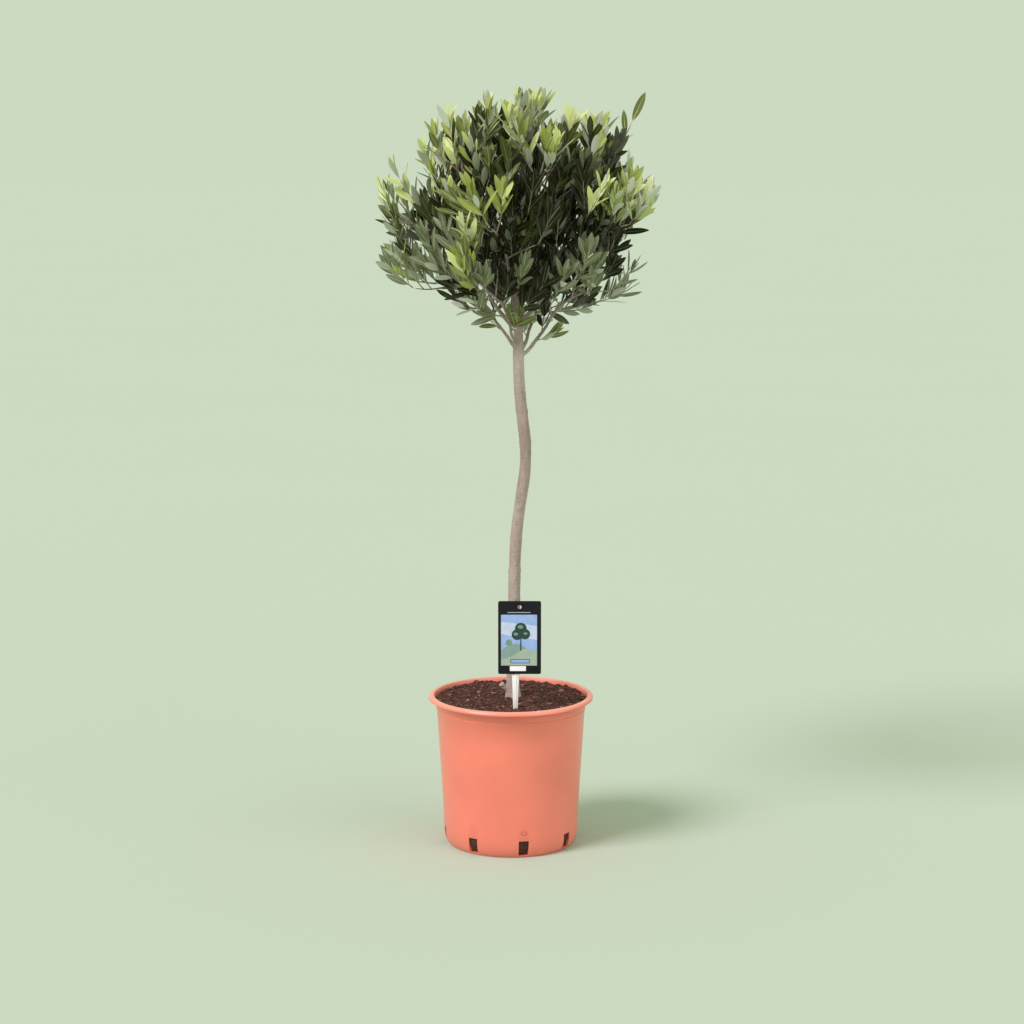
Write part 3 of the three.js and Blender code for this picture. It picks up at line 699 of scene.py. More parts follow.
class OLIVETREE_OT_pot(bpy.types.Operator):
    """Make the nursery pot with its lip, drain slots and gate mark."""
    bl_idname = "olivetree.pot"
    bl_label = "Pot"

    def execute(self, context):
        s = context.scene.olive_pot
        steps = s.slots * SLOT_COLUMNS
        column = 2 * math.pi / steps
        bm = spun(pot_profile(s), steps, s.slot_angle - 2 * column)
        sides = []
        for i in range(s.slots):
            angle = s.slot_angle + 2 * math.pi * i / s.slots
            sides += cut_slot(bm, angle, SLOT_HALF * column, SLOT_BOTTOM, s.slot_top)
        edges = dict.fromkeys(e for f in sides if f.is_valid for e in f.edges
                              if e.calc_face_angle(0) > math.radians(40))
        soften(bm, list(edges), 0.35 * MM, clamp=True)
        bmesh.ops.recalc_face_normals(bm, faces=bm.faces)
        self.add_gate_mark(bm, s)
        # The gate mark's darker finish is painted shade in its dimple
        piece = new_piece("pot_shell", bm, [pot_plastic(s), moulded("gate_mark", s.mark_color, 0.45)])
        shade_smooth(piece.data, 38)
        settle(piece, "pot", "pot")
        return {"FINISHED"}

    def add_gate_mark(self, bm, s):
        """A small round scar of the moulding, above the front slot."""
        lower, upper = (s.foot_radius + SLOT_SPREAD, s.slot_top), (s.waist_radius, s.waist_height)
        outward = Vector((math.cos(s.slot_angle), math.sin(s.slot_angle), 0))
        sunk = Vector(lower).lerp(Vector(upper), 0.4).x - 0.4 * MM
        turn = outward.to_track_quat("Z", "Y").to_matrix().to_4x4()
        place = Matrix.Translation(outward * sunk + UP * (s.slot_top + MARK_RISE)) @ turn
        disc = bmesh.ops.create_circle(bm, cap_ends=True, segments=24, radius=MARK_RADIUS,
                                       matrix=place @ Matrix.Diagonal((1.15, 0.85, 1, 1)))
        face = disc["verts"][0].link_faces[0]
        raised = bmesh.ops.extrude_face_region(bm, geom=[face], use_keep_orig=True)["geom"]
        bmesh.ops.translate(bm, verts=verts_of(raised), vec=outward * 0.75 * MM)
        top = faces_of(raised)
        inner = bmesh.ops.inset_region(bm, faces=top, thickness=0.9 * MM, depth=-0.45 * MM)
        made = {f for v in disc["verts"] for f in v.link_faces} | set(top) | set(inner["faces"])
        bmesh.ops.recalc_face_normals(bm, faces=list(made))
        for face in made:
            face.material_index = 1


# Potting mix

def soil_surface(x, y, s):
    """Height of the uneven surface."""
    rough = noise.fractal(Vector((x, y, 0)) * ROUGH_SCALE, 0.9, 2.1, 4)
    fine = noise.noise(Vector((x, y, 0.5)) * FINE_SCALE)
    heap = math.exp(-((x - TRUNK_FOOT_X) ** 2 + y ** 2) / HEAP_RADIUS ** 2)
    return s.level + s.relief * (0.1 + 0.5 * rough + 0.22 * fine + 0.35 * heap)


class OLIVETREE_OT_soil(bpy.types.Operator):
    """Make the potting mix with its loose crumbs and chips."""
    bl_idname = "olivetree.soil"
    bl_label = "Potting mix"

    def execute(self, context):
        s, pot = context.scene.olive_soil, context.scene.olive_pot
        inset, bottom = pot.wall + CLEARANCE, POT_FLOOR + CLEARANCE
        neck = pot.neck_radius - inset
        lip = (s.level - pot.neck_height) / (pot.height - pot.neck_height)
        edge = neck + lip * (pot.rim_inner - pot.neck_radius + pot.wall)
        top = [(edge * i / SOIL_RINGS, s.level) for i in range(SOIL_RINGS)]
        wall = [(edge, s.level - 1.5 * MM), (neck, pot.neck_height),
                (pot.waist_radius - inset, pot.waist_height),
                (pot.foot_radius + FOOT_SPREAD - inset, FOOT_TOP),
                (pot.foot_radius - inset, bottom), (0, bottom)]
        bm = spun(top + wall, SOIL_COLUMNS)
        for corner in bm.verts:
            if corner.co.z > s.level - 0.1 * MM and corner.co.xy.length < edge - 0.1 * MM:
                corner.co.z = soil_surface(corner.co.x, corner.co.y, s)
        bed = new_piece("soil_bed", bm, [soil_mix(s)])
        shade_smooth(bed.data, 60)
        settle(bed, "potting_mix", "potting_mix")
        self.scatter(s, edge)
        return {"FINISHED"}

    def scatter(self, s, edge):
        """Crumbs and chips, half sunk in the surface, joined into one piece."""
        chance = random.Random(CRUMB_SEED)
        seed_shape = bmesh.new()
        bmesh.ops.create_icosphere(seed_shape, subdivisions=1, radius=0.5)
        ball = np.array([v.co[:] for v in seed_shape.verts])
        faces = np.array([[v.index for v in f.verts] for f in seed_shape.faces])
        seed_shape.free()
        corners, sides, tones = [], [], []
        for _ in range(s.crumbs):
            reach = edge * 0.975 * math.sqrt(chance.random())
            angle = chance.uniform(0, 2 * math.pi)
            x, y = reach * math.cos(angle), reach * math.sin(angle)
            size = s.crumb_size * (0.25 + 0.75 * chance.random() ** 2.2)
            flat = Vector((1, chance.uniform(0.22, 0.75), chance.uniform(0.18, 0.5))) * size
            turn = Matrix.Rotation(chance.uniform(0, 6.3), 3, "Z")
            turn = turn @ Matrix.Rotation(chance.gauss(0, 0.35), 3, "X")
            lumps = np.array([[chance.uniform(0.72, 1.2)] for _ in ball])
            chip = (ball * lumps * np.array(flat)) @ np.array(turn).T
            chip += (x, y, soil_surface(x, y, s) + 0.12 * size)
            sides.append(faces + len(corners) * len(ball))
            corners.append(chip)
            tones.append(chance.choices((0, 1, 2), (6, 4, 0.6))[0])
        mesh = bpy.data.meshes.new("soil_crumbs")
        mesh.from_pydata(np.concatenate(corners).tolist(), [], np.concatenate(sides).tolist())
        mesh.polygons.foreach_set("material_index", np.repeat(tones, len(faces)).astype(np.int32))
        tints = {"dark": scaled(s.light, 0.35), "brown": scaled(s.light, 0.75), "pale": (0.34, 0.17, 0.115)}
        materials = [crumb(f"crumb_{name}", tint) for name, tint in tints.items()]
        settle(new_piece("soil_crumbs", mesh, materials), "potting_mix")


# Label

def rounded_outline(low, high, corner, steps=5):
    """Points round a rectangle with round corners, in the plane of the card."""
    points = []
    centres = ((high.x - corner, low.y + corner), (high.x - corner, high.y - corner),
               (low.x + corner, high.y - corner), (low.x + corner, low.y + corner))
    for k, (x, z) in enumerate(centres):
        for i in range(steps + 1):
            angle = math.pi / 2 * (k - 1 + i / steps)
            points.append(Vector((x + corner * math.cos(angle), z + corner * math.sin(angle))))
    return points


def add_plate(bm, outline, front, depth, material=0, hole=None):
    """A flat plate seen from the front, whose face stands at one depth along Y."""
    edges = []
    for loop in [outline] if hole is None else [outline, hole]:
        corners = [bm.verts.new((p.x, front, p.y)) for p in loop]
        edges += [bm.edges.new((a, b)) for a, b in zip(corners, corners[1:] + corners[:1])]
    flat = bmesh.ops.triangle_fill(bm, use_beauty=True, use_dissolve=True, edges=edges, normal=(0, -1, 0))
    faces = faces_of(flat["geom"])
    moved = bmesh.ops.extrude_face_region(bm, geom=faces, use_keep_orig=True)["geom"]
    bmesh.ops.translate(bm, verts=verts_of(moved), vec=(0, depth, 0))
    made = set(faces) | {f for e in edges for f in e.link_faces} | set(faces_of(moved))
    bmesh.ops.recalc_face_normals(bm, faces=list(made))
    for face in made:
        face.material_index = material


class OLIVETREE_OT_label(bpy.types.Operator):
    """Make the plant label: a card with a plain printed panel, and the stick that carries it."""
    bl_idname = "olivetree.label"
    bl_label = "Plant label"

    def execute(self, context):
        s = context.scene.olive_label
        self.make_card(s)
        self.make_print(s)
        self.make_stick(s)
        return {"FINISHED"}

    def make_card(self, s):
        low, high = CARD_BOX
        outline = rounded_outline(Vector((low.x, low.z)), Vector((high.x, high.z)), s.corner)
        middle = Vector(((low.x + high.x) / 2, high.z - s.hole_drop))
        hole = [middle + s.hole_radius * p for p in round_points(24)]
        bm = bmesh.new()
        add_plate(bm, outline, low.y, high.y - low.y, hole=hole)
        soften(bm, sharp_edges(bm, 60), 0.22 * MM)
        card = new_piece("card_body", bm, [moulded("card_plastic", s.card, 0.42, 0.15)])
        shade_smooth(card.data, 50)
        settle(card, "label_card", "label_card")

    def make_print(self, s):
        """A pale panel with a round tree between two hills, and blank strips around it."""
        low, high = CARD_BOX
        left, right = low.x + s.border, high.x - s.border * 1.4
        bottom, top = low.z + PANEL_FOOT, high.z - PANEL_HEAD
        middle, width, rise = (left + right) / 2, right - left, top - bottom
        front, depth, layer = low.y - s.print_depth, s.print_depth * 0.96, s.print_depth * 0.6
        bm = bmesh.new()

        def spot(x, z):
            return Vector((left + width * x, bottom + rise * z))

        def plate(outline, level, material):
            add_plate(bm, outline, front - layer * level, depth, material)

        def hill(heights, level, material):
            steps = len(heights) - 1
            ridge = [spot(1 - i / steps, h) for i, h in enumerate(reversed(heights))]
            plate([spot(0, 0), spot(1, 0)] + ridge, level, material)

        def disc(x, z, radius, level, material, squash=1.0):
            plate([spot(x, z) + radius * MM * Vector((p.x, squash * p.y)) for p in round_points(28)],
                  level, material)

        def strip(start, end, foot, height, corner, level, material):
            low_corner, high_corner = Vector((start, foot)), Vector((end, foot + height * MM))
            plate(rounded_outline(low_corner, high_corner, corner * MM), level, material)

        plate(rounded_outline(spot(0, 0), spot(1, 1), 0.8 * MM), 0, 0)
        plate([spot(0, 0.62), spot(1, 0.5), spot(1, 0.78), spot(0, 0.86)], 1, 1)
        hill([0.30, 0.37, 0.42, 0.43, 0.40, 0.34, 0.27, 0.22], 2, 2)
        plate([spot(0.53, 0.2), spot(0.57, 0.2), spot(0.565, 0.55), spot(0.535, 0.55)], 3, 3)
        for i, (x, z, radius) in enumerate(((0.45, 0.61, 7.2), (0.66, 0.62, 7.0), (0.55, 0.73, 7.6))):
            disc(x, z, radius, 4 + 0.3 * i, 3)
        for x, z, radius in ((0.41, 0.62, 3.0), (0.54, 0.76, 3.6), (0.68, 0.63, 2.6)):
            disc(x, z, radius, 5, 4, 0.7)
        disc(0.22, 0.45, 4.2, 3, 4)
        hill([0.12, 0.14, 0.18, 0.24, 0.30, 0.33, 0.31, 0.27], 6, 5)
        frame_low, frame_high = spot(0.26, 0.045), spot(0.80, 0.125)
        inset = Vector((0.8, 0.8)) * MM
        plate(rounded_outline(frame_low, frame_high, 1.2 * MM), 7, 6)
        plate(rounded_outline(frame_low + inset, frame_high - inset, 0.8 * MM), 8, 0)
        strip(middle - 12 * MM, middle + 9 * MM, low.z + 4.2 * MM, 6.6, 0.5, 9, 7)
        strip(middle - 15 * MM, middle + 15 * MM, high.z - 15.5 * MM, 0.9, 0.4, 0, 8)
        tints = {"sky": s.sky, "cloud": (0.52, 0.58, 0.74), "far_hill": (0.22, 0.33, 0.30),
                 "tree": (0.022, 0.055, 0.050), "tree_light": (0.16, 0.27, 0.20),
                 "near_hill": (0.34, 0.43, 0.33), "frame": (0.030, 0.040, 0.065),
                 "strip": (0.86, 0.83, 0.88), "rule": (0.42, 0.43, 0.48)}
        materials = [moulded(f"print_{name}", tint, 0.35, 0.3) for name, tint in tints.items()]
        settle(new_piece("card_print", bm, materials), "label_card")

    def make_stick(self, s):
        """The stick, wider from its shoulder up and pointed at its foot, with a rib on its front."""
        low, high = STICK_BOX
        middle, head = (low.x + high.x) / 2, (high.x - low.x) / 2
        foot, soil, shoulder = head * 2 / 3, SOIL_BOX[1].z, CARD_BOX[0].z - 4 * MM
        half = [(0, low.z), (foot, low.z + 9 * MM), (foot, soil), (head, shoulder), (head, high.z)]
        outline = [Vector((middle + x, z)) for x, z in half]
        outline += [Vector((middle - x, z)) for x, z in reversed(half[1:])]
        bm = bmesh.new()
        add_plate(bm, outline, low.y, high.y - low.y)
        rib_foot, rib_head = low.z + 12 * MM, CARD_BOX[0].z - MM
        rib = ((-1.1, rib_foot), (1.1, rib_foot), (1.3, rib_head), (-1.3, rib_head))
        add_plate(bm, [Vector((middle + x * MM, z)) for x, z in rib], low.y - 0.7 * MM, 1.2 * MM)
        soften(bm, sharp_edges(bm, 60), 0.3 * MM)
        stick = new_piece("stick_plastic", bm, [moulded("stick_white", s.stick, 0.4)])
        shade_smooth(stick.data, 50)
        settle(stick, "label_stick", "label_stick")


# Trunk and boughs

def trunk_centre(height):
    """The middle of the trunk at a height, by the source's rule."""
    from_bend = (height - TRUNK_BEND_HEIGHT) / TRUNK_BEND_SPAN
    lean = TRUNK_FOOT_X + TRUNK_LEAN * (height - TRUNK_FOOT)
    sway = 2 * math.pi * (height - TRUNK_FOOT) / TRUNK_SWAY_LENGTH
    bend = TRUNK_BEND * math.exp(-0.5 * from_bend ** 2)
    return Vector((lean + bend, TRUNK_SWAY * math.sin(sway), height))


def crown_point(radius, azimuth, height):
    """A point round the crown's axis, at an angle in degrees."""
    angle = math.radians(azimuth)
    return Vector((CROWN_CENTRE.x + radius * math.cos(angle), CROWN_CENTRE.y + radius * math.sin(angle),
                   height))


def leader_line():
    """The control points of the leader, which goes on from the trunk."""
    foot = trunk_centre(TRUNK_TOP) + UP * CLEARANCE
    rise = LEADER_HEIGHT - foot.z
    tip = crown_point(0, 0, LEADER_HEIGHT)
    upper = tip + Vector((-LEADER_SWAY, LEADER_SWAY, -rise / 3))
    return [foot, foot + UP * rise / 3, upper, tip]


class Mass(NamedTuple):
    """A mass of foliage: its ring, its bough's and stem's control points and how it branches."""
    name: str
    ring: str
    bough: list
    stem: list
    twigs: int
    lift: float
    seed: int


def stem_line(bough, end):
    """The stem goes on from its bough's tip and lifts at its end."""
    direction = (bough[-1] - bough[-2]).normalized()
    start = bough[-1] + direction * CLEARANCE
    return [start, start + direction * (end - start).length * 0.45, end]


def lay_out_crown():
    """The boughs and masses, placed by the source's rule."""
    leader = leader_line()
    climb = Path(bend_through(leader, 40))
    masses = [Mass("top", "top", leader, stem_line(leader, TOP_STEM_END), TOP_TWIGS, TOP_LIFT, TOP_SEED)]
    for level, ring in enumerate(RINGS):
        for i in range(ring.count):
            azimuth = ring.azimuth + i * 360 / ring.count
            height = ring.fork_height + i * ring.fork_step
            share = (height - TRUNK_TOP) / (LEADER_HEIGHT - TRUNK_TOP)
            fork = trunk_centre(height) if height < TRUNK_TOP else climb.at(share)
            tip = crown_point(ring.tip[0], azimuth, ring.tip[1])
            elbow = fork.lerp(tip, 0.62)
            elbow.z = fork.z + (tip.z - fork.z) * 0.4
            bough = [fork, elbow, tip]
            stem = stem_line(bough, crown_point(ring.end[0], azimuth, ring.end[1]))
            seed = 101 * (level + 1) + 7 * i + 1
            masses.append(Mass(f"{ring.name}_{i + 1}", ring.name, bough, stem, ring.twigs, ring.lift, seed))
    return masses


def taper(radii, share):
    return radii[0] + (radii[1] - radii[0]) * share


def grow_limb(bm, path, radius_at, sides, steps):
    """A closed limb: a disc that is extruded along a path and turned with it."""
    disc = bmesh.ops.create_circle(bm, cap_ends=True, segments=sides, radius=1)
    ring = disc["verts"]
    face = ring[0].link_faces[0]
    last = Matrix.Identity(4)
    for i, (place, turn) in enumerate(path.frames(steps)):
        if i > 0:
            made = bmesh.ops.extrude_face_region(bm, geom=[face])["geom"]
            ring, face = verts_of(made), faces_of(made)[0]
        frame_now = Matrix.LocRotScale(place, turn, Vector((1, 1, 1)) * radius_at(i / steps))
        bmesh.ops.transform(bm, matrix=frame_now @ last.inverted(), verts=ring)
        last = frame_now


def bark_relief(point, s):
    """How far the bark stands out at a point: furrows, level ridges and old bud scars."""
    around = point - trunk_centre(min(max(point.z, TRUNK_FOOT), TRUNK_TOP))
    furrow = noise.noise(point * FURROW_SCALE)
    ridge = noise.noise(point * RIDGE_SCALE)
    swell = noise.noise(point * SWELL_SCALE + UP * 7)
    relief = s.relief * (0.8 * furrow + 0.9 * max(0.0, ridge - 0.12) * 2.2 + 1.5 * swell)
    if point.z < TRUNK_TOP and around.length > 1e-6:
        level = round((point.z - TRUNK_FOOT) / SCAR_STEP)
        height = TRUNK_FOOT + level * SCAR_STEP
        facing = 2.4 * level
        for side in (facing, facing + math.pi):
            apart = angle_apart(math.atan2(around.y, around.x), side) * s.base_radius
            spot = (apart ** 2 + (point.z - height) ** 2) / SCAR_SIZE ** 2
            relief += SCAR_RISE * math.exp(-spot) - SCAR_PIT * math.exp(-6 * spot)
    return relief


class OLIVETREE_OT_limbs(bpy.types.Operator):
    """Make the trunk and boughs as one skin of bark."""
    bl_idname = "olivetree.limbs"
    bl_label = "Trunk and boughs"

    def execute(self, context):
        s = context.scene.olive_limbs
        masses = lay_out_crown()
        bm = bmesh.new()
        foot = TRUNK_FOOT - TRUNK_SINK
        heights = [foot + (TRUNK_TOP + 2 * LIMB_OVERLAP - foot) * i / 60 for i in range(61)]
        trunk = Path([trunk_centre(h) for h in heights])
        grow_limb(bm, trunk, lambda share: self.trunk_radius(foot + share * (TRUNK_TOP - foot), s),
                  TRUNK_SIDES, 90)
        self.add_stub(bm)
        for mass in masses:
            if mass.name == "top":
                radii, collar = LEADER_RADII, 1.0
            else:
                radii, collar = tuple(r * BARK_SHARE for r in BOUGH_RADII), COLLAR
            end = mass.bough[-1] + (mass.bough[-1] - mass.bough[-2]).normalized() * LIMB_OVERLAP

            def radius_at(share, radii=radii, collar=collar):
                return taper(radii, share) * (1 + (collar - 1) * math.exp(-share * 9))

            grow_limb(bm, Path(self.weathered(mass) + [end]), radius_at, LIMB_SIDES, 24)
        piece = new_piece("limbs_bark", bm, [])
        skin = piece.modifiers.new("one skin", "REMESH")
        skin.mode = "VOXEL"
        skin.voxel_size = s.voxel
        apply_modifiers(piece)
        self.carve(piece.data, s)
        piece.data.materials.append(bark(s))
        shade_smooth(piece.data, 180)
        settle(piece, "bark", "trunk", *(f"bough_{m.name}" for m in masses[1:]), "bough_leader")
        return {"FINISHED"}

    def weathered(self, mass):
        """The bough's line with the small kinks of its growth."""
        line = bend_through(mass.bough, 20)
        for i, point in enumerate(line):
            ease = math.sin(math.pi * i / 20) * KINK
            kink = [noise.noise(point * 26 + Vector((mass.seed, shift, 0))) for shift in (0, 31.7, 63.4)]
            line[i] = point + Vector(kink) * ease
        return line

    def trunk_radius(self, height, s):
        rise = (height - TRUNK_FOOT) / (TRUNK_TOP - TRUNK_FOOT)
        return taper((s.base_radius, s.top_radius), rise)

    def add_stub(self, bm):
        """The stub of a sucker that was cut off beside the foot."""
        root = trunk_centre(TRUNK_FOOT + 8 * MM)
        tip = root + STUB_REACH
        middle = root.lerp(tip, 0.5) + STUB_SAG
        grow_limb(bm, Path(bend_through([root, middle, tip], 8)),
                  lambda share: (3.5 + 0.5 * math.exp(-((share - 0.92) / 0.07) ** 2)) * MM, LIMB_SIDES, 10)

    def carve(self, mesh, s):
        """Smooths the skin, spreads the roots and raises the bark's relief."""
        bm = bmesh.new()
        bm.from_mesh(mesh)
        for _ in range(SMOOTH_ROUNDS):
            bmesh.ops.smooth_vert(bm, verts=bm.verts, factor=0.5, use_axis_x=True, use_axis_y=True,
                                  use_axis_z=True)
        bm.normal_update()
        moves = []
        for corner in bm.verts:
            point = corner.co
            move = corner.normal * bark_relief(point, s)
            around = point - trunk_centre(point.z)
            around.z = 0
            if point.z < TRUNK_FOOT + 6 * s.flare_height and 1e-6 < around.length < ROOT_REACH:
                angle = math.atan2(around.y, around.x)
                fade = math.exp(-max(0.0, point.z - TRUNK_FOOT) / s.flare_height)
                lobe = 1 + ROOT_LOBE_SHARE * math.cos(ROOT_LOBES * angle)
                move += around.normalized() * s.flare * fade * lobe
            moves.append(move)
        for corner, move in zip(bm.verts, moves):
            corner.co += move
        bm.to_mesh(mesh)
        bm.free()


# Crown

def seeded_numbers(seed):
    """The same repeatable run of numbers from 0 to 1 as the source draws."""
    state = seed
    while True:
        state = (state * 1664525 + 1013904223) % 4294967296
        yield state / 4294967296


def crown_fill(point):
    """The crown's outline: 1 on its surface and less inside it."""
    dx, dy = point.x - CROWN_CENTRE.x, point.y - CROWN_CENTRE.y
    above = point.z > CROWN_CENTRE.z
    rise = point.z - CROWN_CENTRE.z + (0 if above else UNDERSIDE_TILT * dx)
    level = rise / (CROWN_RISE if above else CROWN_DROP)
    azimuth = math.atan2(dy, dx)
    lump = CROWN_LUMP * math.sin(3 * azimuth + rise / 0.040) * math.cos(2 * azimuth - rise / 0.027)
    share = max(1 - level * level, 0) ** (DOME_POWER if above else UNDERSIDE_POWER)
    radius = CROWN_RADIUS * share * (1 + lump)
    return math.hypot(dx, dy) / radius if radius > 0 else math.inf


def crown_reach(point):
    """How far out a point is in the leafy outline, which hangs lower on the left than the source's rule."""
    left = max(0.0, min(1.0, (CROWN_CENTRE.x - point.x) / CROWN_RADIUS))
    right = max(0.0, min(1.0, (point.x - CROWN_CENTRE.x) / CROWN_RADIUS))
    hem = math.exp(-((point.z - HEM_HEIGHT) / HEM_FADE) ** 2)
    shoulder = math.exp(-((point.z - SHOULDER_HEIGHT) / SHOULDER_FADE) ** 2)
    change = 1 - HEM_LEFT * left * hem + HEM_RIGHT * right * hem - SHOULDER_RIGHT * right * shoulder
    return crown_fill(point) * change


def crown_depth(point):
    """How near a point is to the crown's skin: 0 in the middle and 1 on the skin."""
    away = point - CROWN_CENTRE
    rise = away.z / (CROWN_RISE if away.z > 0 else CROWN_DROP)
    return math.hypot(away.x / CROWN_RADIUS, away.y / CROWN_RADIUS, rise)


def in_box(point):
    """Whether a leaf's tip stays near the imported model's own box."""
    low, high = CAD_BOX
    return all(a - BOX_MARGIN < value < b + BOX_MARGIN for value, a, b in zip(point, low, high))


class Spaces:
    """The room that each mass keeps to, and the limbs that its leaves keep clear of."""

    def __init__(self, masses):
        self.boughs = self.segments([bend_through(m.bough, 8) for m in masses])
        self.stems = self.segments([bend_through(m.stem, 6) for m in masses])

    def segments(self, lines):
        starts, spans, owners = [], [], []
        for owner, line in enumerate(lines):
            for a, b in zip(line, line[1:]):
                starts.append(a)
                spans.append(b - a)
                owners.append(owner)
        spans = np.array(spans)
        return np.array(starts), spans, (spans ** 2).sum(1), np.array(owners)

    def distances(self, point, lines):
        starts, spans, squares, _ = lines
        away = np.array(point) - starts
        share = np.clip((away * spans).sum(1) / squares, 0, 1)
        return np.sqrt(((away - spans * share[:, None]) ** 2).sum(1))

    def clear_of_limbs(self, point, radius):
        return self.distances(point, self.boughs).min() > BOUGH_RADII[0] + radius + LIMB_MARGIN

    def holds(self, point, owner, radius):
        """Whether the point is nearer to the owner's stem than to any other, inside the crown."""
        if crown_fill(point) > 1 or not self.clear_of_limbs(point, radius):
            return False
        reach = self.distances(point, self.stems)
        own = self.stems[3] == owner
        return reach[~own].min() > reach[own].min() + 2 * (radius + SPACE_MARGIN)


def splayed(axis, spread, turn):
    """A direction that leaves an axis at an angle, turned about it."""
    side = axis.cross(UP)
    side = side.normalized() if side.length > 1e-6 else Vector((1, 0, 0))
    side.rotate(Matrix.Rotation(math.radians(turn), 3, axis))
    angle = math.radians(spread)
    return axis * math.cos(angle) + side * math.sin(angle)


def twigs_of(mass, owner, spaces):
    """The twigs of a mass, by the source's rule: each is the start, direction and free length."""
    draw = seeded_numbers(mass.seed)
    stem = Path(bend_through(mass.stem, 40))
    twigs = []
    for i in range(mass.twigs):
        share = 0.06 + 0.86 * i / mass.twigs
        start = stem.at(share)
        turn = GOLDEN_ANGLE * i + 30 * next(draw)
        direction = splayed(stem.direction(share), TWIG_SPREAD * (1 - 0.35 * share), turn)
        direction = (direction + UP * mass.lift).normalized()
        reach = TWIG_LENGTH
        while reach > SHORTEST_TWIG:
            inside = crown_fill(start + direction * (reach + TIP_ROOM)) < 1
            if inside and all(spaces.holds(start + direction * reach * t, owner, TWIG_RADII[0])
                              for t in (0.4, 0.7, 1)):
                twigs.append((start, direction, reach))
                break
            reach -= TWIG_TRIM
    return twigs


class Leaf(NamedTuple):
    """One leaf: where it stands, its axes, its size, how it curls and twists, and its tone."""
    root: Vector
    along: Vector
    across: Vector
    length: float
    width: float
    curl: float
    twist: float
    tone: int


